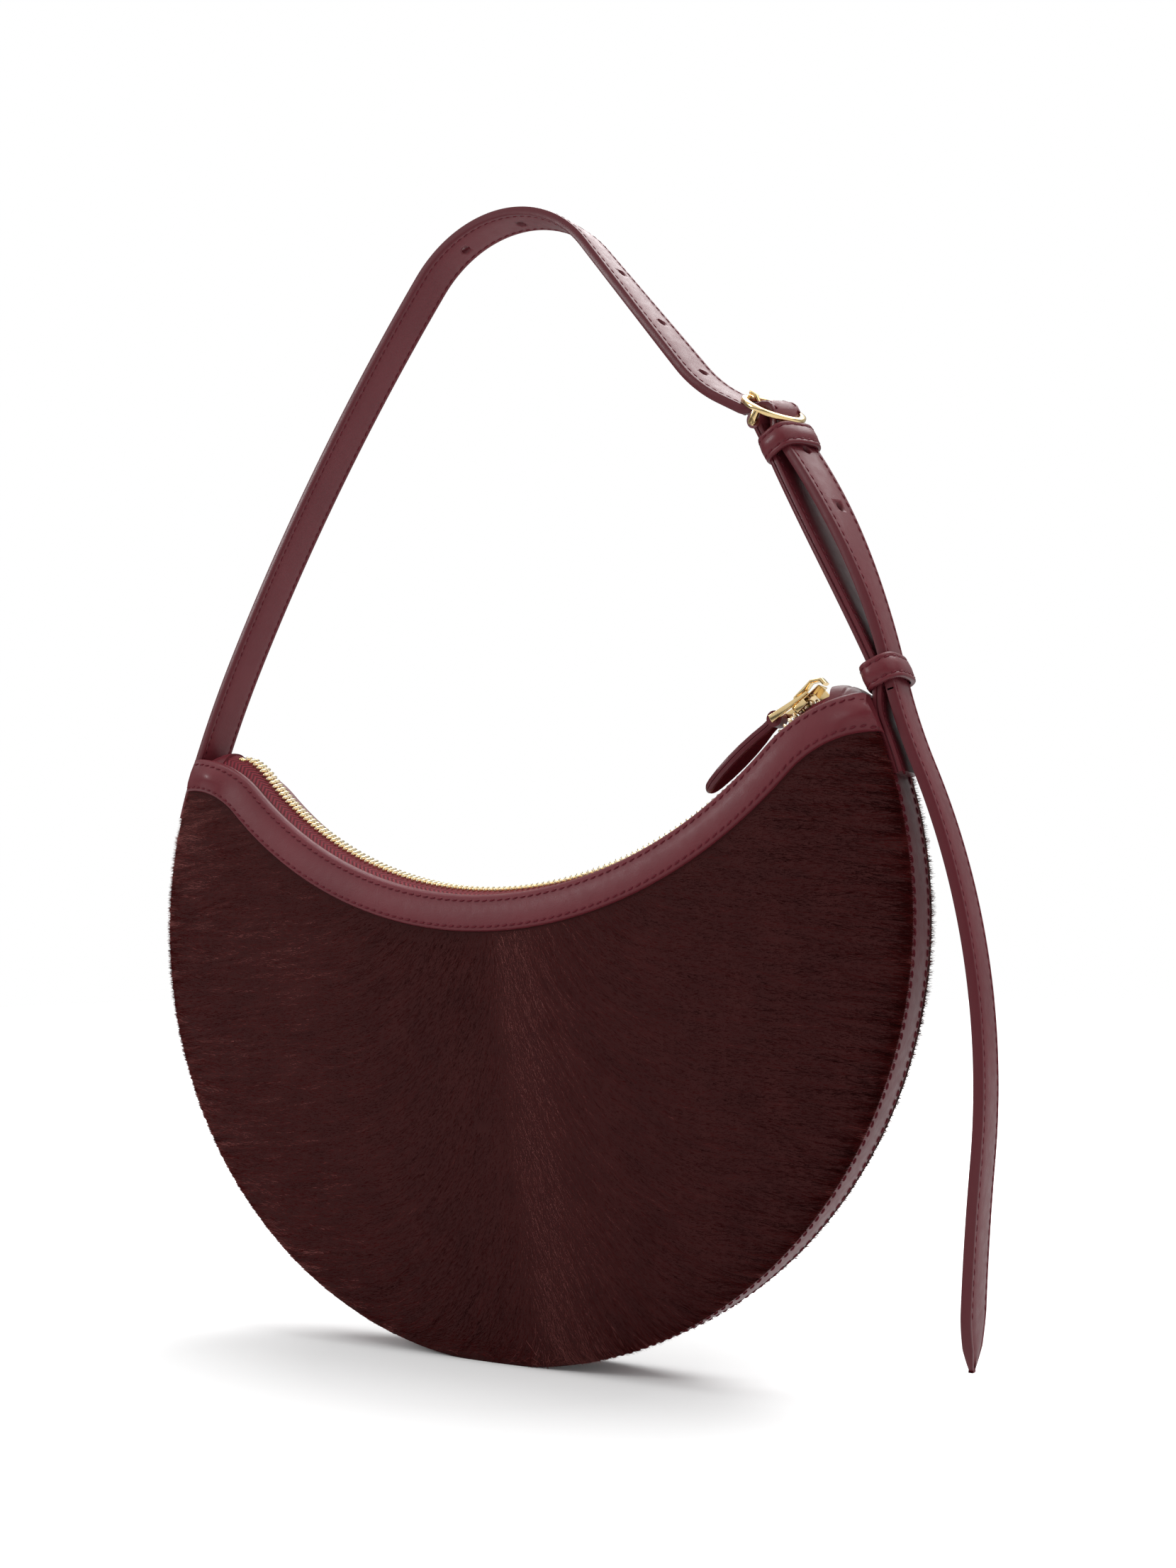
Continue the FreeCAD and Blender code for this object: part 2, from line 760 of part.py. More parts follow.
def keeper(low, high, spot, heading):
    """Flat band round both straps: its room reaches from low to high across them."""
    half = strap_half + slide_clearance
    outside = block(-keeper_length / 2, keeper_length / 2, low - keeper_wall, high + keeper_wall, half + keeper_wall)
    inside = block(-keeper_length, keeper_length, low, high, half)
    return placed(outside.cut(inside), spot, heading)


def upper_keeper():
    spot = bar_spot + ray(chape_heading) * upper_keeper_distance
    low = -chape_layer - pin_clearance
    return keeper(low, low + upper_keeper_reach, spot, chape_heading)


def lower_keeper():
    return keeper(-lower_keeper_inside, lower_keeper_outside, lower_keeper_spot, lower_keeper_angle)


# Where the straps are parted: at the folds, which bend

fold_height = tip_centre.z + fold_rise
fold_low = fold_height - fold_half
fold_high = fold_height + fold_half
tail_fold_height = fold_height - tail_fold_drop
tail_fold_low = tail_fold_height - tail_fold_half
tail_fold_high = tail_fold_height + tail_fold_half

strap = whole_strap()
chape = whole_chape()
front_parts = {
    "panel": front_panel(),
    "top_trim": front_top_trim(),
    "lining": front_lining(),
    "zip_tape": front_zip_tape(),
}
parts = {
    "gusset": gusset(),
    "gusset_lining": gusset_lining(),
    "front_zip_teeth": teeth_row(-1, 0.0),
    "rear_zip_teeth": teeth_row(1, 0.5),
    "zip_stops": zip_stops(),
    "zip_end_tab_left": zip_end_tab_left(),
    "zip_end_tab_right": zip_end_tab_right(),
    "zip_slider": zip_slider(),
    "pull_bar": pull_bar(),
    "pull_tab": pull_tab(),
    "shoulder_strap": between(strap, fold_high, reach),
    "strap_fold_left": between(strap, fold_low, fold_high, -1),
    "strap_end_left": between(strap, -reach, fold_low, -1),
    "tail_fold_upper": between(strap, fold_low, fold_high, 1),
    "strap_tail_held": between(strap, tail_fold_high, fold_low, 1),
    "tail_fold_lower": between(strap, tail_fold_low, tail_fold_high, 1),
    "strap_tail": between(strap, -reach, tail_fold_low, 1),
    "buckle_strap": between(chape, fold_high, reach),
    "buckle_strap_fold": between(chape, fold_low, fold_high),
    "buckle_strap_end": between(chape, -reach, fold_low),
    "buckle_frame": buckle_frame(),
    "buckle_prong": buckle_prong(),
    "upper_keeper": upper_keeper(),
    "lower_keeper": lower_keeper(),
}
for name, shape in front_parts.items():
    parts["front_" + name] = shape
    parts["rear_" + name] = behind(shape)

os.makedirs("parts", exist_ok=True)
for name, shape in sorted(parts.items()):
    shape.exportStep("parts/" + name + ".step")
    box = shape.BoundBox
    print("%-20s solids %3d valid %s volume %9.1f  x %.1f %.1f  y %.1f %.1f  z %.1f %.1f" % (
        name, len(shape.Solids), shape.isValid(), shape.Volume,
        box.XMin, box.XMax, box.YMin, box.YMax, box.ZMin, box.ZMax))

tail_fold_piece = parts["tail_fold_lower"].BoundBox.Center
for name, spot in (
    ("mouth centre", mouth_centre), ("pull pivot", pull_pivot), ("tab pivot", tab_pivot),
    ("heel bar", bar_spot), ("ring centre", ring_centre), ("slider", slider_spot),
    ("lower keeper", lower_keeper_spot), ("tail fold", tail_fold_piece),
):
    print("%-14s %.2f %.2f %.2f" % (name, spot.x, spot.y, spot.z))
print("buckle heading %.2f, lower keeper heading %.2f, slider heading %.2f" % (
    buckle_heading, lower_keeper_angle, slider_angle))
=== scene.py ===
import math

import bmesh
import bpy
import numpy as np
from mathutils import Matrix, Vector


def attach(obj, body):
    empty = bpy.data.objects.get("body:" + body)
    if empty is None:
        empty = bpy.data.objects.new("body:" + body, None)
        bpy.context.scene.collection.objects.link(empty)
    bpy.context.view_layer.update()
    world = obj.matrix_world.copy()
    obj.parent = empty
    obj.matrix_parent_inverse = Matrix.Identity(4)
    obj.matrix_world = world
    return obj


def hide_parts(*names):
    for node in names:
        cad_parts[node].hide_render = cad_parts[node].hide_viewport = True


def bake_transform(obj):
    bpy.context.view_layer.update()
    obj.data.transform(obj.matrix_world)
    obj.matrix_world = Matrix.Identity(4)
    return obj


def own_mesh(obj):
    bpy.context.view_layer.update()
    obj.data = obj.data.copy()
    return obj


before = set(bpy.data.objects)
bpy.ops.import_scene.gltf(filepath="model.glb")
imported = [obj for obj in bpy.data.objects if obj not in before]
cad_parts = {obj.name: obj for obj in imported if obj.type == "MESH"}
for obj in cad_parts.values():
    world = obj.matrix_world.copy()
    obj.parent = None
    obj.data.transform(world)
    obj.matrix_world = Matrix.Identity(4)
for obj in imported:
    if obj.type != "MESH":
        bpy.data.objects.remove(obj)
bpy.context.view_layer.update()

# Hide panels: two half-moons of calf hide, cut to one pattern, pressed into a shallow dome and sewn
# to the gusset round their edge. The dyed skin is dull and shows only between the hairs.
MM = 0.001
body_radius = 140.0
base_flat_depth = 0.8
mouth_height = 144.2
mouth_radius = 140.0
horn_rise = 53.3
horn_radius = 46.0
tip_radius = 4.0
gusset_half = 7.0
panel_thickness = 1.8
panel_dome = 4.6
dome_reach = 42.0
dome_power = 0.55
outline_step = 3.0
ring_reach_share = 0.985
ring_crowding = 1.6
panel_inset = 0.985
skin_colour = "#2B0F0F"
skin_light = "#3A1817"
skin_mottle = 9.0


def linear(colour):
    """sRGB hex value as the linear colour that a shader takes."""
    parts = np.array([int(colour[place:place + 2], 16) / 255 for place in (1, 3, 5)])
    return (*np.where(parts <= 0.04045, parts / 12.92, ((parts + 0.055) / 1.055) ** 2.4), 1.0)


def give(made, inputs):
    """Gives a node's inputs values or links."""
    for key, value in dict(inputs).items():
        if isinstance(value, bpy.types.NodeSocket):
            made.id_data.links.new(value, made.inputs[key])
        else:
            made.inputs[key].default_value = value
    return made


def node(tree, kind, inputs=(), **settings):
    """Adds a node with its settings and inputs."""
    made = tree.nodes.new(kind)
    for name, value in settings.items():
        setattr(made, name, value)
    return give(made, inputs)


def new_material(name):
    """Material with its tree and shader."""
    made = bpy.data.materials.new(name)
    made.use_nodes = True
    return made, made.node_tree, made.node_tree.nodes["Principled BSDF"]


def polar(degrees):
    """Unit vectors of the front view, turned counterclockwise from +X."""
    angle = np.radians(degrees)
    return np.stack((np.cos(angle), np.sin(angle)), axis=-1)


def bearing(vector):
    """Direction of a vector of the front view, in degrees."""
    return math.degrees(math.atan2(vector[1], vector[0]))


def right_crossing(first, first_radius, second, second_radius):
    """Where two circles of the front view meet, on the right hand going from first to second."""
    gap = np.hypot(*(second - first))
    along = (gap ** 2 + first_radius ** 2 - second_radius ** 2) / (2 * gap)
    aside = math.sqrt(first_radius ** 2 - along ** 2)
    heading = bearing(second - first)
    return first + polar(heading) * along + polar(heading - 90) * aside


body_centre = np.array((0.0, body_radius - base_flat_depth))
mouth_centre = np.array((0.0, mouth_height + mouth_radius))
panel_middle = np.array((0.0, mouth_height / 2))
horn_height = mouth_height + horn_rise
horn_drop = mouth_centre[1] - horn_height + horn_radius
horn_out = math.sqrt((mouth_radius + horn_radius) ** 2 - horn_drop ** 2)
horn_centre = np.array((horn_out, horn_height - horn_radius))
tip_centre = right_crossing(horn_centre, horn_radius - tip_radius, body_centre, body_radius - tip_radius)
tip_body_angle = bearing(tip_centre - body_centre)
tip_horn_angle = bearing(tip_centre - horn_centre)
horn_mouth_angle = bearing(mouth_centre - horn_centre)


def arc_points(centre, radius, start, end, spacing):
    count = max(3, int(abs(math.radians(end - start)) * radius / spacing))
    return centre + radius * polar(np.linspace(start, end, count, endpoint=False))


def half_moon(spacing):
    """Outline of the bag from the middle of its base, up the right horn, along the mouth and back."""
    right = np.concatenate((
        arc_points(body_centre, body_radius, -90, tip_body_angle, spacing),
        arc_points(tip_centre, tip_radius, tip_body_angle, tip_horn_angle, spacing / 3),
        arc_points(horn_centre, horn_radius, tip_horn_angle, horn_mouth_angle, spacing),
        arc_points(mouth_centre, mouth_radius, horn_mouth_angle - 180, -90, spacing),
    ))
    left = right[:0:-1] * (-1, 1)
    middle = np.array([(0.0, mouth_centre[1] - mouth_radius)])
    points = np.concatenate((right, middle, left))
    points[:, 1] = np.maximum(points[:, 1], 0.0)
    return points


outline = half_moon(outline_step)


def below_mouth(points):
    """How far points of the front view lie below the edge of the mouth and horns."""
    x = np.abs(points[..., 0])
    z = points[..., 1]
    arm = np.stack((x, z), axis=-1) - horn_centre
    slope = np.degrees(np.arctan2(arm[..., 1], arm[..., 0]))
    on_horn = horn_radius - np.hypot(arm[..., 0], arm[..., 1])
    on_mouth = np.hypot(x, z - mouth_centre[1]) - mouth_radius
    inner = np.where((slope > 90) & (slope < horn_mouth_angle), on_horn, on_mouth)
    return np.where(x > horn_centre[0], horn_height - z, inner)


def dome_depth(points):
    """Depth of the hide's outer face from the middle of the bag, at points of the front view."""
    rise = np.ones(np.shape(points)[:-1])
    inside_body = body_radius - np.hypot(points[..., 0], points[..., 1] - body_centre[1])
    for inside in (inside_body, below_mouth(points)):
        rise = rise * np.sin(math.pi / 2 * np.clip(inside / dome_reach, 0, 1) ** dome_power)
    return gusset_half + panel_thickness + panel_dome * rise


def finished(name, mesh, materials, sharp=40.0):
    """Piece with its faces turned outwards and smooth but for its sharp edges."""
    shape = bmesh.new()
    shape.from_mesh(mesh)
    bmesh.ops.recalc_face_normals(shape, faces=shape.faces)
    shape.to_mesh(mesh)
    shape.free()
    mesh.shade_smooth()
    mesh.set_sharp_from_angle(angle=math.radians(sharp))
    for material in materials:
        mesh.materials.append(material)
    piece = bpy.data.objects.new(name, mesh)
    bpy.context.collection.objects.link(piece)
    return piece


def loft(name, sections, materials, ring=False, second=(), third=(), sharp=40.0):
    """Skin over closed cross-sections in millimetres. Its UV map runs along and across, in metres."""
    sections = np.asarray(sections, dtype=float) * MM
    count, size = sections.shape[:2]
    along = np.cumsum([0.0] + [np.linalg.norm(step, axis=1).mean() for step in np.diff(sections, axis=0)])
    across = np.concatenate(([0.0], np.cumsum(np.linalg.norm(np.diff(sections[count // 2], axis=0), axis=1))))
    faces = []
    corners = []
    kinds = []
    for row in range(count if ring else count - 1):
        below = (row + 1) % count
        near, far_row = row * size, below * size
        for column in range(size):
            after = (column + 1) % size
            faces.append((near + column, near + after, far_row + after, far_row + column))
            far = across[after] if after else 2 * across[column] - across[column - 1]
            low = along[below] if below else along[row]
            corners += [(along[row], across[column]), (along[row], far), (low, far), (low, across[column])]
            kinds.append(1 if column in second else 2 if column in third else 0)
    if not ring:
        for start in (0, (count - 1) * size):
            faces.append(tuple(range(start, start + size)))
            corners += [(0.0, 0.0)] * size
            kinds.append(1 if second else 0)
    mesh = bpy.data.meshes.new(name)
    mesh.from_pydata(sections.reshape(-1, 3).tolist(), [], faces)
    mesh.uv_layers.new(name="UVMap").data.foreach_set("uv", np.array(corners).ravel())
    mesh.polygons.foreach_set("material_index", kinds)
    return finished(name, mesh, materials, sharp)


# Dyed calf skin: matt, with a faint mottle where the dye took unevenly.
calf_skin, tree, shader = new_material("dyed_calf_skin")
place = node(tree, "ShaderNodeTexCoord")
mottle = node(tree, "ShaderNodeTexNoise", {
    "Vector": place.outputs["Object"], "Scale": 1 / (skin_mottle * MM), "Detail": 3.0})
tint = node(tree, "ShaderNodeMix", {
    0: mottle.outputs["Fac"], 6: linear(skin_colour), 7: linear(skin_light)}, data_type="RGBA")
give(shader, {"Base Color": tint.outputs[2], "Roughness": 0.8, "Specular IOR Level": 0.1})


def dome_steps(count):
    """Sizes of the rings that cover a panel, closest together at its edge."""
    return 1 - np.linspace(0, ring_reach_share, count) ** ring_crowding


def shrunk(line, share):
    """Line of the front view drawn in towards the middle of the panel."""
    return panel_middle + (line - panel_middle) * share


def at_depth(line, side, depth):
    """Points of a line of the front view at a depth, in front of the middle for side -1."""
    return np.column_stack((line[:, 0], np.broadcast_to(side * depth, len(line)), line[:, 1]))


dome_shares = dome_steps(40)


def panel_rings(side):
    """Rings of a panel from the middle of its inner face, round its edge, to the middle outside."""
    rings = []
    for share in dome_shares[::-1]:
        flat = shrunk(outline, share)
        rings.append(at_depth(shrunk(flat, panel_inset), side, dome_depth(flat) - panel_thickness))
    rings.append(at_depth(outline, side, gusset_half))
    for share in dome_shares:
        flat = shrunk(outline, share)
        rings.append(at_depth(flat, side, dome_depth(flat)))
    return rings


for side, name in ((-1, "front_panel"), (1, "rear_panel")):
    hide = loft(name + "_skin", panel_rings(side), [calf_skin])
    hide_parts(name)
    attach(hide, "bag")

# Hair on the hide: short dyed calf hair that grows away from a parting down the back of the animal,
# downwards beside it and straight outwards at the sides. It lies close, and its ends fray at the edges.
hair_length = 5.6
hair_length_shares = (0.6, 1.2)
hair_width = 0.27
hair_taper = 0.85
hair_droop = 0.1
hair_rise = 9.0
hair_rise_shares = (-1.6, -0.4)
hair_roll = 0.7
hair_stray = 0.16
hair_pieces = {"front": 4, "rear": 2}
hairs_in_piece = 48000
first_seed = 11
hair_seam = 0.3
hair_floor = 0.7
trim_width = 11.3
hair_band_gap = 0.4
edge_hair = (0.36, 6.0)
parting_top = np.array((2.5, 131.5))
parting_foot = np.array((18.2, 5.2))
parting_angle = 70.0
parting_width = 75.0
parting_blur = 3.0
side_angle = 4.0
base_height = 16.0
tuft_width = 1.5
tuft_length = 11.0
tuft_slips = (0.41, 0.23)
tuft_sheen_contrast = (1.7, -0.86)
clump_scale = 0.45
clump_sway = 0.9
hair_dark = "#1B0505"
hair_middle = "#421313"
hair_light = "#885350"
# Tone of the hair: painted sheen lightens the ridge beside the parting, painted shade darkens a band left of
# it and the far right, and painted light pales the rims, most of all on the rear panel, whose fringe is lit
# from behind. The far left is lighter, and there are pale patches.
tone_base = 0.22
tone_spread = 0.17
ridge_sheen = 0.48
ridge_aside = 5.0
ridge_widths = (6.0, 20.0)
shade_tone = 0.13
shade_aside = 24.0
shade_width = 22.0
left_tone, left_start = 0.11, 45.0
right_shade, right_start = -0.16, 30.0
side_reach = 60.0
pale_patches = ((0.26, -126, 170, 18), (0.16, -74, 128, 15))
rim_light_tones = {-1: 0.22, 1: 0.8}
rim_light_width = 6.0


def soft_step(value):
    value = np.clip(value, 0, 1)
    return value * value * (3 - 2 * value)


def patch(points, x, z, size):
    """Soft round patch about a place, 1 in its middle."""
    return np.exp(-((points[:, 0] - x) ** 2 + (points[:, 1] - z) ** 2) / size ** 2)


def hair_fall(apart):
    """How far the hair points down at a distance from the parting, in radians."""
    turn = soft_step(apart / parting_width)
    return np.radians(parting_angle + (side_angle - parting_angle) * turn)


def hair_bed(side):
    """Outer face of a panel with the hair's way, its tone with painted sheen and shade, and its room to grow.
    """
    rings = [at_depth(outline, side, gusset_half + part) for part in (hair_seam, panel_thickness / 2)]
    for share in dome_steps(60):
        flat = shrunk(outline, share)
        rings.append(at_depth(flat, side, dome_depth(flat)))
    points = np.concatenate(rings)
    points[:, 2] = np.maximum(points[:, 2], hair_floor)
    size = len(outline)
    faces = []
    for near in range(0, size * (len(rings) - 1), size):
        for column in range(size):
            after = (column + 1) % size
            quad = [near + column, near + after, near + size + after, near + size + column]
            faces.append(quad if side > 0 else quad[::-1])
    mesh = bpy.data.meshes.new("hair_bed")
    mesh.from_pydata((points * MM).tolist(), [], faces)
    mesh.shade_smooth()
    flat = points[:, (0, 2)]
    drop = (parting_top[1] - flat[:, 1]) / (parting_top[1] - parting_foot[1])
    parting = parting_top[0] + (parting_foot[0] - parting_top[0]) * drop
    aside = flat[:, 0] - parting
    apart = np.abs(aside)
    left_or_right = np.where(aside < 0, -1.0, 1.0)
    steps = np.linspace(0, 2 * body_radius, 700)
    falls = hair_fall(steps)
    strand = flat[:, 1] + np.interp(apart, steps, np.cumsum(np.tan(falls)) * steps[1])
    run = np.interp(apart, steps, np.cumsum(1 / np.cos(falls)) * steps[1])
    across = strand / tuft_width
    along = run / tuft_length + tuft_slips[0] * across
    grain = np.stack((across, along, 7 * left_or_right + tuft_slips[1] * across), axis=-1)
    fall = hair_fall(apart)
    sway = left_or_right * soft_step(apart / parting_blur)
    sink = np.sin(fall) * soft_step(flat[:, 1] / base_height)
    way = np.stack((sway * np.cos(fall), np.zeros(len(flat)), -sink), axis=-1)
    inside = body_radius - np.hypot(flat[:, 0], flat[:, 1] - body_centre[1])
    grown_share = edge_hair[0] + (1 - edge_hair[0]) * soft_step(inside / edge_hair[1])
    # Painted sheen on the ridge, painted shade in the band left of it and at the far right, the far left
    # lighter, pale patches, and painted light at the rim.
    ridge = np.exp(-((aside - ridge_aside) / np.where(aside < ridge_aside, *ridge_widths)) ** 2)
    tone = tone_base + ridge_sheen * ridge - shade_tone * np.exp(-((aside + shade_aside) / shade_width) ** 2)
    tone += left_tone * soft_step((-aside - left_start) / side_reach)
    tone += right_shade * soft_step((aside - right_start) / side_reach)
    tone += sum(pale * patch(flat, *place) for pale, *place in pale_patches)
    tone += rim_light_tones[side] * soft_step(1 - inside / rim_light_width)
    room = below_mouth(flat) - trim_width
    for name, values in (
        ("hair_way", way), ("hair_grain", grain), ("hair_tone_sheen_and_shade", tone), ("hair_size", grown_share),
        ("hair_room", room),
    ):
        kind, key = ("FLOAT_VECTOR", "vector") if values.ndim > 1 else ("FLOAT", "value")
        mesh.attributes.new(name, kind, "POINT").data.foreach_set(key, values.ravel())
    return mesh


def new_tree(name, inputs):
    """Geometry tree with a geometry in and out, and its named inputs."""
    made = bpy.data.node_groups.new(name, "GeometryNodeTree")
    made.interface.new_socket(name="Geometry", in_out="OUTPUT", socket_type="NodeSocketGeometry")
    made.interface.new_socket(name="Geometry", in_out="INPUT", socket_type="NodeSocketGeometry")
    for label, kind in inputs:
        made.interface.new_socket(name=label, in_out="INPUT", socket_type="NodeSocket" + kind)
    return made, node(made, "NodeGroupInput").outputs


def end_tree(made, instances, used, material):
    """Ends a tree: instances become a mesh with a material, without the attributes that are used up."""
    for name in used:
        instances = node(made, "GeometryNodeRemoveAttribute", {
            "Geometry": instances.outputs[0], "Name": name})
    real = node(made, "GeometryNodeRealizeInstances", {"Geometry": instances.outputs[0]})
    coated = node(made, "GeometryNodeSetMaterial", {"Geometry": real.outputs[0], "Material": material})
    node(made, "NodeGroupOutput", {"Geometry": coated.outputs[0]})


def grown(name, base, made, values):
    """Plain mesh piece that a geometry tree makes from a base mesh."""
    piece = bpy.data.objects.new(name, base)
    bpy.context.collection.objects.link(piece)
    modifier = piece.modifiers.new(name, "NODES")
    modifier.node_group = made
    for item in made.interface.items_tree:
        if item.item_type == "SOCKET" and item.in_out == "INPUT" and item.name in values:
            modifier[item.identifier] = values[item.name]
    seen = piece.evaluated_get(bpy.context.evaluated_depsgraph_get())
    mesh = bpy.data.meshes.new_from_object(seen)
    piece.modifiers.remove(modifier)
    piece.data = mesh
    mesh.name = name
    bpy.data.meshes.remove(base)
    return piece


hair_tree, given = new_tree("calf_hair", (
    ("Density", "Float"), ("Seed", "Int"), ("Length", "Float"), ("Width", "Float"), ("Rise", "Float"),
    ("Hair", "Material"),
))


# Roots: scattered over the bed but not under the band, each with its tone.
seed = given["Seed"]
scatter = node(hair_tree, "GeometryNodeDistributePointsOnFaces", {
    "Mesh": given["Geometry"], "Density": given["Density"], "Seed": seed})
room = node(hair_tree, "GeometryNodeInputNamedAttribute", {"Name": "hair_room"}, data_type="FLOAT")
covered = node(hair_tree, "FunctionNodeCompare", {
    0: room.outputs["Attribute"], 1: hair_band_gap}, data_type="FLOAT", operation="LESS_THAN")
bare = node(hair_tree, "GeometryNodeDeleteGeometry", {
    "Geometry": scatter.outputs["Points"], "Selection": covered.outputs[0]}, domain="POINT")
grain = node(hair_tree, "GeometryNodeInputNamedAttribute", {
    "Name": "hair_grain"}, data_type="FLOAT_VECTOR")
# Streaks along the tufts: painted sheen on the clumps and painted shade in the gaps between them.
tuft = node(hair_tree, "ShaderNodeTexNoise", {
    "Vector": grain.outputs["Attribute"], "Scale": 1.0, "Detail": 2.5})
tuft_sheen_and_shade = node(hair_tree, "ShaderNodeMath", {
    0: tuft.outputs["Fac"], 1: tuft_sheen_contrast[0], 2: tuft_sheen_contrast[1]}, operation="MULTIPLY_ADD")
bed_tone = node(hair_tree, "GeometryNodeInputNamedAttribute", {"Name": "hair_tone_sheen_and_shade"}, data_type="FLOAT")
own_tone = node(hair_tree, "FunctionNodeRandomValue", {
    2: -tone_spread, 3: tone_spread, "Seed": seed}, data_type="FLOAT")
tone_sum = node(hair_tree, "ShaderNodeMath", {
    0: bed_tone.outputs["Attribute"], 1: own_tone.outputs[1]}, operation="ADD")
tone = node(hair_tree, "ShaderNodeMath", {
    0: tone_sum.outputs[0], 1: tuft_sheen_and_shade.outputs[0]}, operation="ADD")
toned = node(hair_tree, "GeometryNodeStoreNamedAttribute", {
    "Geometry": bare.outputs[0], "Name": "hair_tone_sheen_and_shade", "Value": tone.outputs[0],
}, data_type="FLOAT", domain="POINT")

# Ways: along the coat, swayed in clumps and a little at random, and risen from the skin.
coat_way = node(hair_tree, "GeometryNodeInputNamedAttribute", {
    "Name": "hair_way"}, data_type="FLOAT_VECTOR")
stray = node(hair_tree, "FunctionNodeRandomValue", {
    0: (-hair_stray,) * 3, 1: (hair_stray,) * 3, "Seed": seed}, data_type="FLOAT_VECTOR")
clump = node(hair_tree, "ShaderNodeTexNoise", {
    "Vector": grain.outputs["Attribute"], "Scale": clump_scale, "Detail": 1.0})
clump_way = node(hair_tree, "ShaderNodeVectorMath", {
    0: clump.outputs["Color"], 1: (clump_sway,) * 3, 2: (-clump_sway / 2,) * 3}, operation="MULTIPLY_ADD")
stray_way = node(hair_tree, "ShaderNodeVectorMath", {
    0: coat_way.outputs["Attribute"], 1: stray.outputs[0]}, operation="ADD")
way = node(hair_tree, "ShaderNodeVectorMath", {
    0: stray_way.outputs[0], 1: clump_way.outputs[0]}, operation="ADD")
stood = node(hair_tree, "FunctionNodeAlignRotationToVector", {
    "Vector": scatter.outputs["Normal"]}, axis="Z")
laid = node(hair_tree, "FunctionNodeAlignRotationToVector", {
    "Rotation": stood.outputs[0], "Vector": way.outputs[0]}, axis="X", pivot_axis="Z")
roll = node(hair_tree, "FunctionNodeRandomValue", {
    2: -hair_roll, 3: hair_roll, "Seed": seed}, data_type="FLOAT")
rise_share = node(hair_tree, "FunctionNodeRandomValue", {
    2: hair_rise_shares[0], 3: hair_rise_shares[1], "Seed": seed}, data_type="FLOAT")
rise = node(hair_tree, "ShaderNodeMath", {
    0: rise_share.outputs[1], 1: given["Rise"]}, operation="MULTIPLY")
lean = node(hair_tree, "ShaderNodeCombineXYZ", {"X": roll.outputs[1], "Y": rise.outputs[0]})
leant = node(hair_tree, "FunctionNodeEulerToRotation", {0: lean.outputs[0]})
turned = node(hair_tree, "FunctionNodeRotateRotation", {
    "Rotation": laid.outputs[0], "Rotate By": leant.outputs[0]}, rotation_space="LOCAL")

# Hairs: narrow blades that taper and droop towards the tip.
blade = node(hair_tree, "GeometryNodeMeshGrid", {
    "Size X": 1.0, "Size Y": 1.0, "Vertices X": 3, "Vertices Y": 2})
spot = node(hair_tree, "GeometryNodeInputPosition")
part = node(hair_tree, "ShaderNodeSeparateXYZ", {0: spot.outputs[0]})
run = node(hair_tree, "ShaderNodeMath", {0: part.outputs["X"], 1: 0.5}, operation="ADD")
taper = node(hair_tree, "ShaderNodeMath", {
    0: run.outputs[0], 1: -hair_taper, 2: 1.0}, operation="MULTIPLY_ADD")
half = node(hair_tree, "ShaderNodeMath", {
    0: part.outputs["Y"], 1: taper.outputs[0]}, operation="MULTIPLY")
run_squared = node(hair_tree, "ShaderNodeMath", {
    0: run.outputs[0], 1: run.outputs[0]}, operation="MULTIPLY")
droop = node(hair_tree, "ShaderNodeMath", {
    0: run_squared.outputs[0], 1: -hair_droop}, operation="MULTIPLY")
bent = node(hair_tree, "ShaderNodeCombineXYZ", {
    "X": run.outputs[0], "Y": half.outputs[0], "Z": droop.outputs[0]})
hair = node(hair_tree, "GeometryNodeSetPosition", {
    "Geometry": blade.outputs["Mesh"], "Position": bent.outputs[0]})
length_share = node(hair_tree, "FunctionNodeRandomValue", {
    2: hair_length_shares[0], 3: hair_length_shares[1], "Seed": seed}, data_type="FLOAT")
full = node(hair_tree, "ShaderNodeMath", {
    0: length_share.outputs[1], 1: given["Length"]}, operation="MULTIPLY")
edge_share = node(hair_tree, "GeometryNodeInputNamedAttribute", {"Name": "hair_size"}, data_type="FLOAT")
reach = node(hair_tree, "ShaderNodeMath", {
    0: full.outputs[0], 1: edge_share.outputs["Attribute"]}, operation="MULTIPLY")
size = node(hair_tree, "ShaderNodeCombineXYZ", {
    "X": reach.outputs[0], "Y": given["Width"], "Z": reach.outputs[0]})
planted = node(hair_tree, "GeometryNodeInstanceOnPoints", {
    "Points": toned.outputs[0], "Instance": hair.outputs[0],
    "Rotation": turned.outputs[0], "Scale": size.outputs[0]})
end_tree(hair_tree, planted, ("hair_way", "hair_grain", "hair_size", "hair_room"), given["Hair"])

# Dyed calf hair: dark in its depth and paler where the ends catch the light. The tone of each hair
# gives the coat its sheen, so the shader has no gloss of its own.
calf_hair, tree, shader = new_material("dyed_calf_hair")
tone = node(tree, "ShaderNodeAttribute", attribute_name="hair_tone_sheen_and_shade")
lower = node(tree, "ShaderNodeMapRange", {0: tone.outputs["Fac"], 1: 0.0, 2: 0.5})
upper = node(tree, "ShaderNodeMapRange", {0: tone.outputs["Fac"], 1: 0.5, 2: 1.0})
deep = node(tree, "ShaderNodeMix", {
    0: lower.outputs[0], 6: linear(hair_dark), 7: linear(hair_middle)}, data_type="RGBA")
tint = node(tree, "ShaderNodeMix", {
    0: upper.outputs[0], 6: deep.outputs[2], 7: linear(hair_light)}, data_type="RGBA")
give(shader, {"Base Color": tint.outputs[2], "Roughness": 0.6, "Specular IOR Level": 0.0})

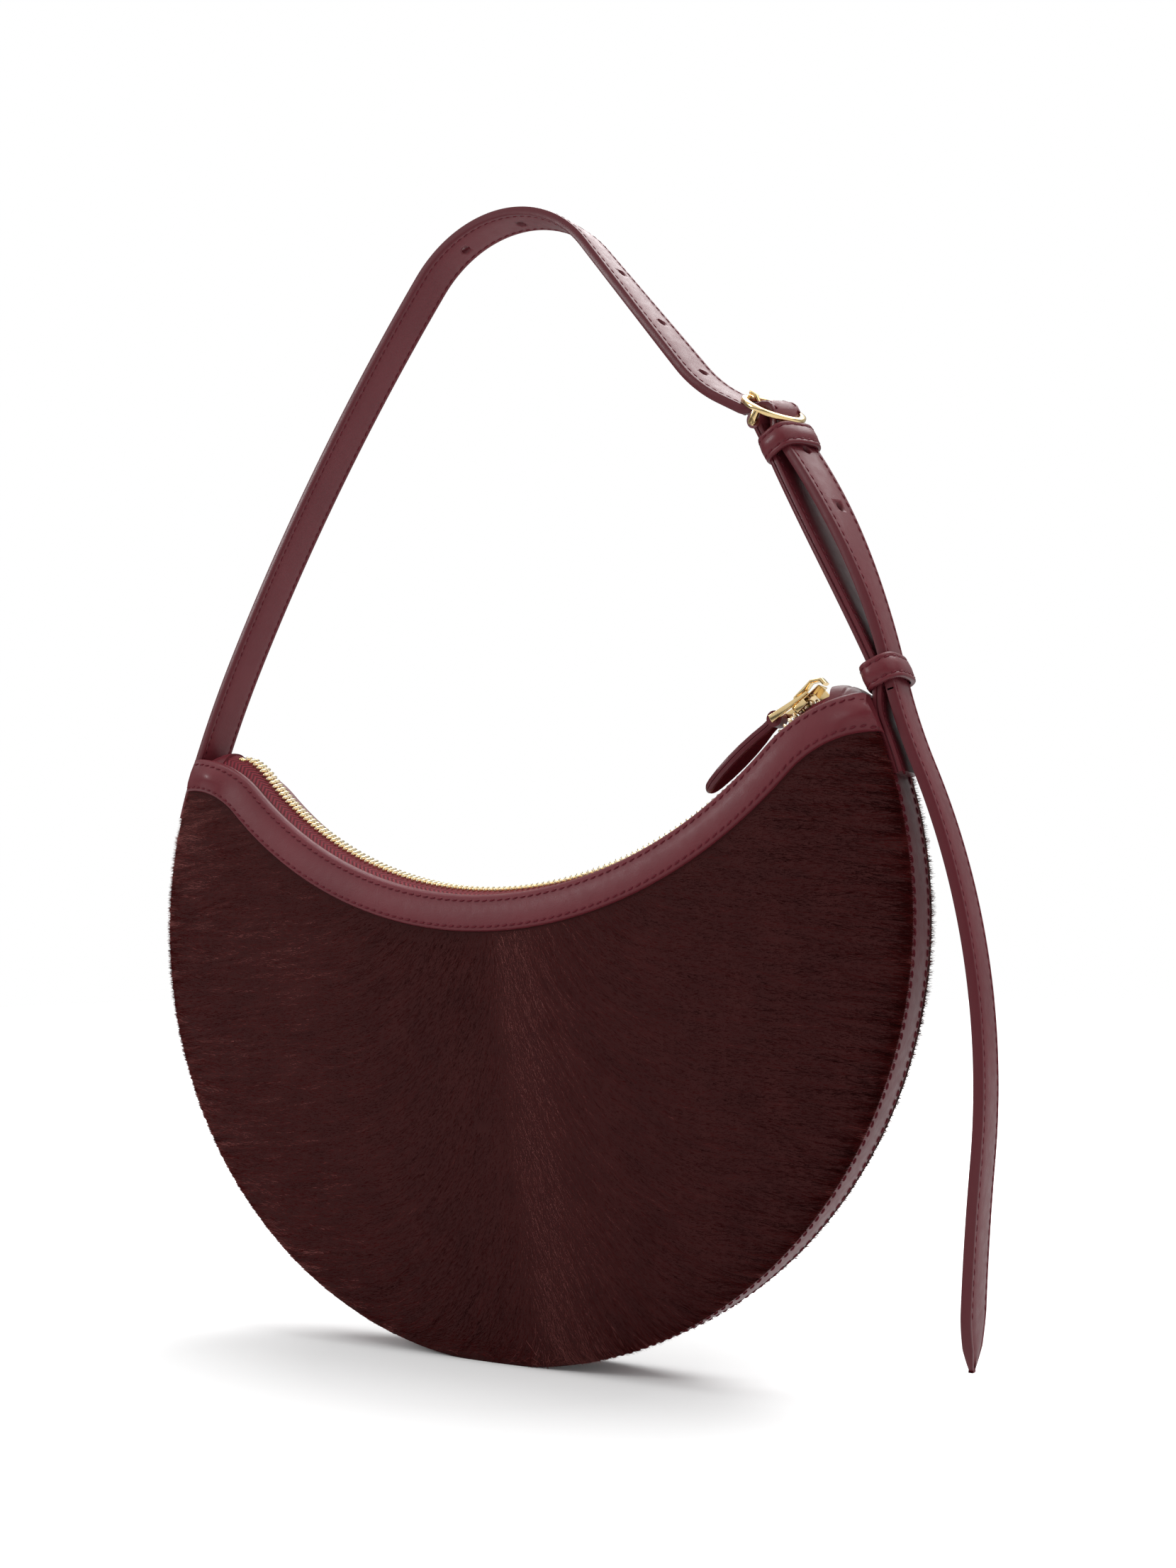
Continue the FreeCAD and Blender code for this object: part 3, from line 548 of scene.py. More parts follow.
for side, name in ((-1, "front"), (1, "rear")):
    for number in range(hair_pieces[name]):
        bed = hair_bed(side)
        area = sum(face.area for face in bed.polygons)
        hairs = grown("%s_hair_%d" % (name, number + 1), bed, hair_tree, {
            "Density": hairs_in_piece / area, "Seed": first_seed + number, "Length": hair_length * MM,
            "Width": hair_width * MM, "Rise": math.radians(hair_rise), "Hair": calf_hair})
        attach(hairs, "bag")

# Leather bands along the mouth: smooth calf leather, turned under at its lower edge, lightly padded
# and turned over the mouth's edge, with a row of stitches near each edge.
trim_thickness = 1.4
trim_puff = 0.25
horn_pad = 2.0
horn_pad_places = ((-118.0, 191.0), (128.5, 191.5))
horn_pad_size = 6.5
band_end_reaches = (0.2, 2.4)
band_end_slope = 0.2
trim_edge_round = 1.1
band_mouth_steps = 73
band_horn_steps = 26
band_horn_angle = 86.0
trim_turn = ((0.0, 0.0), (0.35, 0.5), (0.5, 1.2), (0.4, 2.0), (0.0, 2.7), (-1.2, 3.1))
trim_cross_shares = (
    0.0, 0.012, 0.035, 0.07, 0.12, 0.19, 0.28, 0.38, 0.49, 0.6, 0.71, 0.81, 0.89, 0.95, 0.98)
trim_sink = 0.4
stitch_pitch = 2.9
stitch_length = 2.3
stitch_width = 0.8
stitch_slant = 0.22
stitch_inset = 1.5
leather_colour = "#64252C"
leather_deep = "#521B22"
leather_grain = 0.55
pore_depth = 0.15
leather_crease = 3.0
crease_depth = 0.5
leather_cloud = 30.0
edge_colour = "#521A21"
edge_wave = 4.0
edge_wave_depth = 0.3
thread_colour = "#3F0A13"
thread_light = "#661F2A"
thread_ply = 0.8


# Smooth calf leather: a fine pebble of pores, a soft gloss from its finish, and clouds of deeper dye.
calf_leather, tree, shader = new_material("smooth_calf_leather")
place = node(tree, "ShaderNodeTexCoord")
cloud = node(tree, "ShaderNodeTexNoise", {
    "Vector": place.outputs["Object"], "Scale": 1 / (leather_cloud * MM), "Detail": 4.0})
pores = node(tree, "ShaderNodeTexVoronoi", {
    "Vector": place.outputs["Object"], "Scale": 1 / (leather_grain * MM)})
crease = node(tree, "ShaderNodeTexNoise", {
    "Vector": place.outputs["Object"], "Scale": 1 / (leather_crease * MM), "Detail": 5.0})
tint = node(tree, "ShaderNodeMix", {
    0: cloud.outputs["Fac"], 6: linear(leather_colour), 7: linear(leather_deep)}, data_type="RGBA")
gloss = node(tree, "ShaderNodeMapRange", {
    0: crease.outputs["Fac"], 1: 0.3, 2: 0.7, 3: 0.34, 4: 0.46})
fine = node(tree, "ShaderNodeBump", {
    "Height": pores.outputs["Distance"], "Strength": 0.12, "Distance": pore_depth * MM})
wide = node(tree, "ShaderNodeBump", {
    "Height": crease.outputs["Fac"], "Strength": 0.12, "Distance": crease_depth * MM,
    "Normal": fine.outputs[0]})
give(shader, {
    "Base Color": tint.outputs[2], "Roughness": gloss.outputs[0], "Normal": wide.outputs[0],
    "Specular IOR Level": 0.22, "Coat Weight": 0.06, "Coat Roughness": 0.16})

# Painted edge: thick lacquer over the cut leather, deeper and glossier than its face, slightly wavy.
painted_edge, tree, shader = new_material("painted_leather_edge")
place = node(tree, "ShaderNodeTexCoord")
wave = node(tree, "ShaderNodeTexNoise", {
    "Vector": place.outputs["Object"], "Scale": 1 / (edge_wave * MM), "Detail": 2.0})
tint = node(tree, "ShaderNodeMix", {
    0: wave.outputs["Fac"], 6: linear(edge_colour), 7: linear(leather_deep)}, data_type="RGBA")
wavy = node(tree, "ShaderNodeBump", {
    "Height": wave.outputs["Fac"], "Strength": 0.2, "Distance": edge_wave_depth * MM})
give(shader, {
    "Base Color": tint.outputs[2], "Normal": wavy.outputs[0], "Roughness": 0.34, "Specular IOR Level": 0.3})

# Waxed polyester thread, in the leather's own colour with its plies a little lighter.
waxed_thread, tree, shader = new_material("waxed_thread")
place = node(tree, "ShaderNodeTexCoord")
plies = node(tree, "ShaderNodeTexNoise", {
    "Vector": place.outputs["Object"], "Scale": 1 / (thread_ply * MM)})
tint = node(tree, "ShaderNodeMix", {
    0: plies.outputs["Fac"], 6: linear(thread_colour), 7: linear(thread_light)}, data_type="RGBA")
give(shader, {"Base Color": tint.outputs[2], "Roughness": 0.6, "Specular IOR Level": 0.15})


def row_tree(name, item, labels):
    """Tree that sets one item after another along a path, its X along the path and its Z up from it."""
    made, given = new_tree(name, (
        ("Pitch", "Float"), ("Size", "Vector"), ("Slant", "Float"), ("Finish", "Material")))
    line = node(made, "GeometryNodeMeshToCurve", {"Mesh": given["Geometry"]})
    spaced = node(made, "GeometryNodeResampleCurve", {
        "Curve": line.outputs[0], "Length": given["Pitch"]}, mode="LENGTH")
    up = node(made, "GeometryNodeInputNamedAttribute", {"Name": "up"}, data_type="FLOAT_VECTOR")
    tangent = node(made, "GeometryNodeInputTangent")
    stood = node(made, "FunctionNodeAlignRotationToVector", {"Vector": up.outputs["Attribute"]}, axis="Z")
    turned = node(made, "FunctionNodeAlignRotationToVector", {
        "Rotation": stood.outputs[0], "Vector": tangent.outputs[0]}, axis="X", pivot_axis="Z")
    slant = node(made, "ShaderNodeCombineXYZ", {"Z": given["Slant"]})
    slanting = node(made, "FunctionNodeEulerToRotation", {0: slant.outputs[0]})
    slanted = node(made, "FunctionNodeRotateRotation", {
        "Rotation": turned.outputs[0], "Rotate By": slanting.outputs[0]}, rotation_space="LOCAL")
    shape = node(made, item, labels)
    if item == "GeometryNodeMeshCube":
        shape = node(made, "GeometryNodeSubdivisionSurface", {
            0: shape.outputs[0], "Level": 1, "Edge Crease": 0.6})
    smooth = node(made, "GeometryNodeSetShadeSmooth", {"Geometry": shape.outputs[0]})
    set_out = node(made, "GeometryNodeInstanceOnPoints", {
        "Points": spaced.outputs[0], "Instance": smooth.outputs[0],
        "Rotation": slanted.outputs[0], "Scale": given["Size"]})
    end_tree(made, set_out, ("up",), given["Finish"])
    return made


stitch_tree = row_tree("stitch_row", "GeometryNodeMeshUVSphere", {"Segments": 6, "Rings": 4, "Radius": 0.5})


def path_mesh(rows):
    """Mesh of edges along rows of (point, up) pairs in millimetres."""
    points = []
    ups = []
    edges = []
    for row in rows:
        first = len(points)
        for point, up in row:
            points.append([value * MM for value in point])
            ups.append(up)
        edges += [(place, place + 1) for place in range(first, len(points) - 1)]
    mesh = bpy.data.meshes.new("path")
    mesh.from_pydata(points, edges, [])
    up_values = np.array(ups, dtype=float).ravel()
    mesh.attributes.new("up", "FLOAT_VECTOR", "POINT").data.foreach_set("vector", up_values)
    return mesh


def stitched(name, rows):
    """Rows of stitches along paths."""
    size = (stitch_length * MM, stitch_width * MM, stitch_width * MM)
    piece = grown(name, path_mesh(rows), stitch_tree, {
        "Pitch": stitch_pitch * MM, "Size": size, "Slant": stitch_slant, "Finish": waxed_thread})
    return piece


def trim_cover(below, line):
    """Thickness of the band over the hide at a distance below the mouth's edge, with a pad on each horn."""
    above = trim_width - below
    edge = np.sqrt(1 - (1 - np.clip(above / trim_edge_round, 0, 1)) ** 2)
    pad = horn_pad * sum(patch(line, *place, horn_pad_size) for place in horn_pad_places)
    return trim_thickness * edge + (trim_puff + pad) * np.sin(math.pi * np.clip(above / trim_width, 0, 1))


def band_line(below, end_gap=0.0):
    """Line along the band at a distance below the mouth's edge, from horn to horn."""
    turns = np.concatenate((
        np.linspace(-90, horn_mouth_angle - 180, band_mouth_steps, endpoint=False),
        np.linspace(horn_mouth_angle, band_horn_angle, band_horn_steps),
    ))
    on_mouth = mouth_centre + polar(turns) * (mouth_radius + below)
    on_horn = horn_centre + polar(turns) * (horn_radius - below)
    right = np.where((turns < 0)[:, None], on_mouth, on_horn)
    arms = right - body_centre
    reach = np.hypot(*arms.T)
    kept = right[reach < body_radius - end_gap]
    halves = []
    for ahead in band_end_reaches:
        half = np.vstack((kept, kept[-1] + (ahead / 2, 0.0), kept[-1] + (ahead, -ahead * band_end_slope)))
        places = np.linspace(0, len(half) - 1, len(turns))
        halves.append(np.column_stack([np.interp(places, np.arange(len(half)), values) for values in half.T]))
    left, right = halves
    return np.concatenate((left[:0:-1] * (-1, 1), right))


def trim_sections(side):
    """Cross-sections of a band: from the lower edge up its face, over the mouth's edge and under."""
    lines = []
    for below in trim_width * (1 - np.array(trim_cross_shares)):
        line = band_line(below)
        lines.append(at_depth(line, side, dome_depth(line) + trim_cover(below, line)))
    for lift, back in trim_turn:
        lines.append(at_depth(band_line(-lift), side, gusset_half + panel_thickness + trim_thickness - back))
    line = band_line(trim_width)
    lines.append(at_depth(line, side, dome_depth(line) - trim_sink))
    return np.stack(lines, axis=1)


for side, name in ((-1, "front"), (1, "rear")):
    trim = loft(name + "_mouth_band", trim_sections(side), [calf_leather], sharp=60)
    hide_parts(name + "_top_trim")
    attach(trim, "bag")
    rows = []
    for below in (stitch_inset, trim_width - stitch_inset):
        line = band_line(below, end_gap=stitch_inset)
        points = at_depth(line, side, dome_depth(line) + trim_cover(below, line))
        rows.append([(point, (0, side, 0)) for point in points])
    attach(stitched(name + "_band_stitches", rows), "bag")

# Gusset: one narrow strip of the same leather round the base from horn tip to horn tip, slightly
# rounded across, sewn to both panels with a row of stitches along each edge.
gusset_thickness = 2.0
gusset_crown = 0.35
gusset_edge_round = 0.5
gusset_across_shares = (-1.0, -0.985, -0.9, -0.7, -0.45, -0.15, 0.15, 0.45, 0.7, 0.9, 0.985, 1.0)
gusset_end_margin = 0.4
gusset_end_angle = tip_body_angle - gusset_end_margin
gusset_seam_end = 9.0


def round_base(radius, y, angle, floor=0.0):
    """Point at a radius about the body's centre, but no lower than a floor."""
    x, z = body_centre + radius * polar(angle)
    return (x, y, max(z, floor))


def round_angles(count, end_gap=0.0):
    """Angles along the gusset from the right horn round the base to the left one."""
    end = gusset_end_angle - end_gap
    return np.linspace(end, -180 - end, count)


sections = []
for angle in round_angles(220):
    row = []
    for part in gusset_across_shares:
        rounded = body_radius + gusset_crown * (1 - part * part) - gusset_edge_round * (abs(part) == 1)
        row.append(round_base(rounded, part * gusset_half, angle))
    for part in (1.0, -1.0):
        row.append(round_base(body_radius - gusset_thickness, part * gusset_half, angle))
    sections.append(row)
gusset = loft("gusset_strip", sections, [calf_leather], sharp=60)
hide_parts("gusset")
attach(gusset, "bag")
rows = []
for y in (stitch_inset - gusset_half, gusset_half - stitch_inset):
    row = []
    for angle in round_angles(300, gusset_seam_end):
        up = polar(angle)
        row.append((round_base(body_radius + gusset_crown / 2, y, angle), (up[0], 0, up[1])))
    rows.append(row)
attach(stitched("gusset_stitches", rows), "bag")

# Lining: thin cotton twill, glued to the inside of the bag. Each panel has a piece cut a little smaller
# than itself, and the gusset has a strip of its own width.
lining_thickness = 0.5
lining_gap = 0.1
lining_colour = "#5A3437"
lining_shade = "#472629"
twill_pitch = 0.9
twill_depth = 0.2
wave_period = 0.314
lining_share = 0.975

# Cotton twill: fine slanting ribs, quite matt. A wave texture repeats after its period at a scale of 1.
cotton_twill, tree, shader = new_material("cotton_twill")
place = node(tree, "ShaderNodeTexCoord")
slant = node(tree, "ShaderNodeMapping", {
    "Vector": place.outputs["Object"], "Rotation": (0.0, math.radians(45), 0.0)})
ribs = node(tree, "ShaderNodeTexWave", {
    "Vector": slant.outputs[0], "Scale": wave_period / (twill_pitch * MM)})
tint = node(tree, "ShaderNodeMix", {
    0: ribs.outputs["Fac"], 6: linear(lining_shade), 7: linear(lining_colour)}, data_type="RGBA")
ribbed = node(tree, "ShaderNodeBump", {
    "Height": ribs.outputs["Fac"], "Strength": 0.4, "Distance": twill_depth * MM})
give(shader, {"Base Color": tint.outputs[2], "Normal": ribbed.outputs[0], "Roughness": 0.85})

for side, name, panel in ((-1, "front_lining", "front_panel"), (1, "rear_lining", "rear_panel")):
    sections = []
    for shares, inset in ((dome_shares[::-1], lining_thickness), (dome_shares, 0.0)):
        for share in shares:
            flat = shrunk(outline, share)
            depth = dome_depth(flat) - panel_thickness - lining_gap - inset
            sections.append(at_depth(shrunk(flat, lining_share), side, depth))
    cloth = loft(name + "_cloth", sections, [cotton_twill])
    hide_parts(name)
    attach(cloth, "bag")
inner = body_radius - gusset_thickness
lining_half = gusset_half - lining_gap
lining_low = inner - lining_thickness
sections = []
for angle in round_angles(160):
    sections.append([round_base(radius, y, angle, gusset_thickness) for radius, y in (
        (inner - lining_gap, -lining_half), (inner - lining_gap, lining_half),
        (lining_low, lining_half), (lining_low, -lining_half))])
cloth = loft("gusset_lining_cloth", sections, [cotton_twill])
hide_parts("gusset_lining")
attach(cloth, "bag")

# Zip tape: two woven polyester tapes in a herringbone, sewn in under the bands. They slope up from the
# bands to the teeth, which stand up like a ridge, down the hollow of the mouth and over both horns.
zip_lift = 0.6
zip_tent = 1.7
zip_end_rise = 2.8
zip_end_radius = 30.0
tape_end_gap = 6.3
tape_top = -0.2
tape_thickness = 0.7
tape_edge = 0.4
tape_tuck = 0.8
tape_cover = 0.6
tape_sag = 1.6
tape_step = 2.0
tape_across_shares = (0.0, 0.12, 0.3, 0.5, 0.7, 0.85, 1.0)
tape_colour = "#7A2530"
tape_shade = "#3A0C14"
herringbone_rib = 0.9
herringbone_width = 4.6
herringbone_depth = 0.3


def leg_end(leg, distance):
    """Place and heading at a distance along a straight or round leg."""
    start, heading, length, turn = leg
    if turn == 0:
        return start + polar(heading) * distance, heading
    radius = length / math.radians(turn)
    new_heading = heading + turn * distance / length
    return start + (polar(heading + 90) - polar(new_heading + 90)) * radius, new_heading


def walk(start, heading, legs):
    """Path of legs, each a length and a turn in degrees, left positive."""
    path = []
    for length, turn in legs:
        path.append((start, heading, length, turn))
        start, heading = leg_end(path[-1], length)
    return path


def path_length(path):
    return sum(leg[2] for leg in path)


def stops(path, spacing, first=0.0, last=math.inf):
    """Stops along a path between two distances: place, heading, distance, and no roll or shift."""
    end = min(last, path_length(path))
    found = []
    for distance in np.linspace(first, end, max(2, int((end - first) / spacing))):
        ahead = distance
        for leg in path:
            if ahead <= leg[2] or leg is path[-1]:
                break
            ahead -= leg[2]
        spot, heading = leg_end(leg, ahead)
        found.append((spot, heading, distance, 0.0, 0.0))
    return found


def placed(points, spot, heading, roll=0.0, shift=0.0):
    """Points (ahead, Y, above) of a local frame whose first axis lies along a heading of the front view.

    A roll turns what is above towards the front, and a shift moves all in Y.
    """
    ahead, y, above = np.moveaxis(np.asarray(points, dtype=float), -1, 0)
    tip, lean = polar(roll)
    y, above = y * tip - above * lean + shift, above * tip + y * lean
    along, up = polar(heading), polar(heading + 90)
    x = spot[0] + ahead * along[0] + above * up[0]
    return np.stack((x, y, spot[1] + ahead * along[1] + above * up[1]), axis=-1)


def swept(path_stops, section):
    """Cross-sections at stops along a path. A section is points of Y and height to the path's left."""
    points = [(0.0, y, rise) for y, rise in section]
    return [placed(points, spot, heading, roll, shift) for spot, heading, done, roll, shift in path_stops]


# Herringbone tape: slanting ribs that turn at every few threads, drawn half as coarse again as the
# real ones so that they show, matt with a slight sheen.
herringbone, tree, shader = new_material("herringbone_zip_tape")
woven = node(tree, "ShaderNodeUVMap", uv_map="UVMap")
place = node(tree, "ShaderNodeSeparateXYZ", {0: woven.outputs[0]})
zigzag = node(tree, "ShaderNodeMath", {
    0: place.outputs["Y"], 1: herringbone_width * MM}, operation="PINGPONG")
slide = node(tree, "ShaderNodeMath", {0: place.outputs["X"], 1: zigzag.outputs[0]}, operation="ADD")
rib = node(tree, "ShaderNodeMath", {0: slide.outputs[0], 1: herringbone_rib * MM}, operation="PINGPONG")
height = node(tree, "ShaderNodeMath", {
    0: rib.outputs[0], 1: 1 / (herringbone_rib * MM)}, operation="MULTIPLY")
tint = node(tree, "ShaderNodeMix", {
    0: height.outputs[0], 6: linear(tape_shade), 7: linear(tape_colour)}, data_type="RGBA")
raised = node(tree, "ShaderNodeBump", {
    "Height": height.outputs[0], "Strength": 0.6, "Distance": herringbone_depth * MM})
give(shader, {
    "Base Color": tint.outputs[2], "Normal": raised.outputs[0], "Roughness": 0.7, "Specular IOR Level": 0.2})


def zip_path(lift):
    """Path of the zip over both horns, at a lift above the hollow of the mouth."""
    hollow = mouth_radius - lift
    end_drop = mouth_centre[1] - horn_height - zip_end_rise + zip_end_radius
    steepest = math.degrees(math.acos(end_drop / (hollow + zip_end_radius)))
    end_centre = mouth_centre + polar(steepest - 90) * (hollow + zip_end_radius)
    tip_slope = bearing(tip_centre - end_centre) - 90
    end_length = zip_end_radius * math.radians(steepest - tip_slope) - tape_end_gap
    end_turn = math.degrees(end_length / zip_end_radius)
    end_heading = steepest - end_turn
    start = (end_centre + polar(end_heading + 90) * zip_end_radius) * (-1, 1)
    hollow_leg = (2 * hollow * math.radians(steepest), 2 * steepest)
    return walk(start, -end_heading, ((end_length, -end_turn), hollow_leg, (end_length, -end_turn)))


zip_run = zip_path(zip_lift + zip_tent)
zip_length = path_length(zip_run)
zip_end, zip_end_heading = leg_end(zip_run[-1], zip_run[-1][2])


def lies_flat(piece):
    """The closed zip stands up as a ridge; the piece joins the bag with a mesh of its own."""
    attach(piece, "bag")
    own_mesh(piece)


for side, name in ((-1, "front"), (1, "rear")):
    sections = []
    for stop in stops(zip_run, tape_step):
        outer = float(below_mouth(stop[0])) - tape_tuck
        section = []
        for part in tape_across_shares:
            y = tape_edge + (gusset_half + tape_cover - tape_edge) * part
            section.append((side * y, tape_top + (outer - tape_top) * part ** tape_sag))
        section += [(y, rise - tape_thickness) for y, rise in section[::-1]]
        sections += swept([stop], section)
    tape = loft(name + "_tape", sections, [herringbone], sharp=50)
    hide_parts(name + "_zip_tape")
    lies_flat(tape)

# Zip teeth and stops: teeth of pale brass, pressed onto the inner edges of the tapes. The two rows
# mesh along the middle, and gold-plated stops close the rows at both ends.
tooth_pitch = 2.1
tooth_size = (1.0, 3.4, 2.3)
tooth_middle = 1.35
brass_colour = "#F8EBD0"
brass_warm = "#EBD3A4"
teeth_setback = 9.9
stop_size = (1.7, 2.8, 1.5)
stop_drop = 0.9
stop_setback = 1.4
stop_middle = 1.9
stop_reach = 0.5
stop_pitch = 2.0
tooth_step = 0.5
gold_colour = "#F6E0B0"
gold_warm = "#E3BE7E"
gold_drift = 4.0
brass_drift = 6.0

# Gold-plated brass: polished, with a slight warm drift in the plating.
gold_plate, tree, shader = new_material("polished_gold_plate")
place = node(tree, "ShaderNodeTexCoord")
drift = node(tree, "ShaderNodeTexNoise", {
    "Vector": place.outputs["Object"], "Scale": 1 / (gold_drift * MM), "Detail": 2.0})
tint = node(tree, "ShaderNodeMix", {
    0: drift.outputs["Fac"], 6: linear(gold_colour), 7: linear(gold_warm)}, data_type="RGBA")
gloss = node(tree, "ShaderNodeMapRange", {0: drift.outputs["Fac"], 3: 0.08, 4: 0.2})
give(shader, {"Base Color": tint.outputs[2], "Roughness": gloss.outputs[0], "Metallic": 1.0})

# Pale brass of the teeth: tumbled, so a softer gloss than the plated parts.
pale_brass, tree, shader = new_material("tumbled_pale_brass")
place = node(tree, "ShaderNodeTexCoord")
drift = node(tree, "ShaderNodeTexNoise", {
    "Vector": place.outputs["Object"], "Scale": 1 / (brass_drift * MM), "Detail": 2.0})
tint = node(tree, "ShaderNodeMix", {
    0: drift.outputs["Fac"], 6: linear(brass_colour), 7: linear(brass_warm)}, data_type="RGBA")
give(shader, {"Base Color": tint.outputs[2], "Roughness": 0.32, "Metallic": 1.0})

tooth_tree = row_tree("zip_tooth_row", "GeometryNodeMeshCube", {"Size": (1.0, 1.0, 1.0)})


def zip_stretch(first, last, y, drop=0.0):
    """Path along the zip between two distances, beside its middle line and below it."""
    row = []
    for spot, heading, *_ in stops(zip_run, tooth_step, first, last):
        up = polar(heading + 90)
        spot = spot - up * drop
        row.append(((spot[0], y, spot[1]), (up[0], 0, up[1])))
    return row


for side, name, shift in ((-1, "front", 0.0), (1, "rear", tooth_pitch / 2)):
    line = zip_stretch(teeth_setback + shift, zip_length - teeth_setback + shift, side * tooth_middle)
    teeth = grown(name + "_teeth", path_mesh([line]), tooth_tree, {
        "Pitch": tooth_pitch * MM, "Size": [value * MM for value in tooth_size], "Finish": pale_brass})
    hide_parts(name + "_zip_teeth")
    lies_flat(teeth)
rows = []
for side in (-1, 1):
    for end in (zip_length - stop_setback, teeth_setback - tooth_pitch):
        rows.append(zip_stretch(end - stop_reach, end + stop_reach, side * stop_middle, stop_drop))
end_stops = grown("zip_end_stops", path_mesh(rows), tooth_tree, {
    "Pitch": stop_pitch * MM, "Size": [value * MM for value in stop_size], "Finish": gold_plate})
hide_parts("zip_stops")
lies_flat(end_stops)

# Leather patches at the zip's ends: each covers the tape's end and closes the top of the horn, and a
# seam crosses it where it is folded.
patch_overlap = 2.6
patch_lifts = {"right": 2.0, "left": 0.3}
patch_seam = 2.2
patch_seam_depth = 0.45
patch_seam_half = 0.35
patch_end_turn = -58.0
patch_past = 2.4
patch_step = 0.4
patch_length = patch_overlap + tape_end_gap + patch_past
patch_cover = 0.5
patch_sag = 2.6
patch_thickness = 1.6

patch_start = zip_end - polar(zip_end_heading) * patch_overlap
patch_run = walk(patch_start, zip_end_heading, ((patch_length, patch_end_turn),))
for side, name in ((1, "right"), (-1, "left")):
    sections = []
    for stop in stops(patch_run, patch_step):
        from_seam = (stop[2] - patch_overlap - patch_seam) / patch_seam_half
        fold = patch_lifts[name] - patch_seam_depth * math.exp(-from_seam ** 2)
        outer = float(below_mouth(stop[0])) - tape_tuck
        section = []
        for part in np.linspace(-1, 1, 15):
            rise = fold + (outer - fold) * abs(part) ** patch_sag
            section.append((part * (gusset_half + patch_cover), rise))
        section += [(y, rise - patch_thickness) for y, rise in section[::-1]]
        sections.append(swept([stop], section)[0] * (side, 1, 1))
    leather_patch = loft("zip_patch_" + name, sections, [calf_leather], sharp=50)
    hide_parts("zip_end_tab_" + name)
    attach(leather_patch, "bag")

# Slider: cast body of two plates joined by a web, round the teeth, with an upright eight-sided ring
# on top that the pull hangs in. Gold-plated.
slider_setback = 8.6
slider_lift = 1.1
slider_chord = 12.4
slider_low = -4.8
slider_shoulder = -0.8
slider_high = 5.2
slider_half = 4.2
slider_nose_half = 3.3
slider_room = (-4.4, 1.9)
slider_plate = 0.35
slider_web = (1.8, 4.9)
slider_web_half = 0.4
slider_flange = (0.8, 1.6)
slider_sink = 0.5
bridge_middle = 0.8
bridge_shift = 0.5
bridge_half = 6.4
bridge_height = 3.7
bridge_upright = 2.1
bridge_corner_share = 0.42
bridge_thickness = 1.35
bridge_width = 3.4
bridge_sink = 0.6
bridge_aim = 1.2
bridge_roundness = 0.55
metal_round = 0.28
web_round = 0.1
flange_round = 0.2
rod_sides = 20


def plate(shape, plan, low, high, bevel, upright=False):
    """Adds a bevelled plate to a shape: a plan of (ahead, Y), or upright (ahead, above), from low to high."""
    rings = []
    for level in (low, high):
        rings.append([shape.verts.new((a, level, b) if upright else (a, b, level)) for a, b in plan])
    faces = [shape.faces.new(ring) for ring in rings]
    for place in range(len(plan)):
        after = (place + 1) % len(plan)
        faces.append(shape.faces.new((rings[0][place], rings[0][after], rings[1][after], rings[1][place])))
    bmesh.ops.recalc_face_normals(shape, faces=faces)
    edges = list({edge for face in faces for edge in face.edges})
    bmesh.ops.bevel(
        shape, geom=edges, offset=bevel, segments=3, profile=0.5, affect="EDGES", clamp_overlap=True)


def box(low_a, high_a, low_b, high_b):
    return [(low_a, low_b), (high_a, low_b), (high_a, high_b), (low_a, high_b)]


def rod(shape, start, end, radius):
    """Adds a round rod between two points of the local frame."""
    start, end = Vector(start), Vector(end)
    turn = (end - start).to_track_quat("Z", "Y").to_matrix().to_4x4()
    matrix = Matrix.Translation((start + end) / 2) @ turn
    bmesh.ops.create_cone(shape, cap_ends=True, segments=rod_sides, radius1=radius, radius2=radius,
                          depth=(end - start).length, matrix=matrix)


def local_piece(name, shape, spot, heading, materials, sharp=35.0, roll=0.0, shift=0.0):
    """Piece from a shape of a local frame, in millimetres."""
    points = np.array([vertex.co[:] for vertex in shape.verts])
    for vertex, point in zip(shape.verts, placed(points, spot, heading, roll, shift) * MM):
        vertex.co = point
    mesh = bpy.data.meshes.new(name)
    shape.to_mesh(mesh)
    shape.free()
    return finished(name, mesh, materials, sharp)


slider_run = zip_path(zip_lift)
slider_station = path_length(slider_run) - slider_setback
zip_spot, zip_heading, *_ = stops(slider_run, 1.0, slider_station)[0]
zip_below, *_ = stops(slider_run, 1.0, slider_station - slider_chord)[0]
slider_angle = bearing(zip_spot - zip_below)
slider_spot = zip_spot + polar(zip_heading + 90) * slider_lift
slider_top = slider_room[1] + slider_plate


def squared(angles, power):
    """Points of a round with flattened sides: the lower the power, the squarer."""
    return np.sign(polar(angles)) * np.abs(polar(angles)) ** power


shape = bmesh.new()
plan = [
    (slider_low, -slider_half), (slider_shoulder, -slider_half), (slider_high, -slider_nose_half),
    (slider_high, slider_nose_half), (slider_shoulder, slider_half), (slider_low, slider_half),
]
sunk_low, sunk_high = slider_room[0] - slider_sink, slider_room[1] + slider_sink
plate(shape, plan, slider_room[1], slider_top, metal_round)
plate(shape, plan, slider_room[0] - slider_plate, slider_room[0], metal_round)
plate(shape, box(*slider_web, -slider_web_half, slider_web_half), sunk_low, sunk_high, web_round)
for side in (-1, 1):
    inner, outer = side * (slider_half - slider_flange[0]), side * slider_half
    flange = box(slider_low, slider_shoulder, inner, outer)
    plate(shape, flange, slider_room[1] - slider_flange[1], sunk_high, flange_round)
slider = local_piece("slider_body", shape, slider_spot, slider_angle, [gold_plate])
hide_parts("zip_slider")
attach(slider, "slider")
sections = []
bridge_shoulder = bridge_half * (1 - bridge_corner_share)
foot = slider_top - bridge_sink
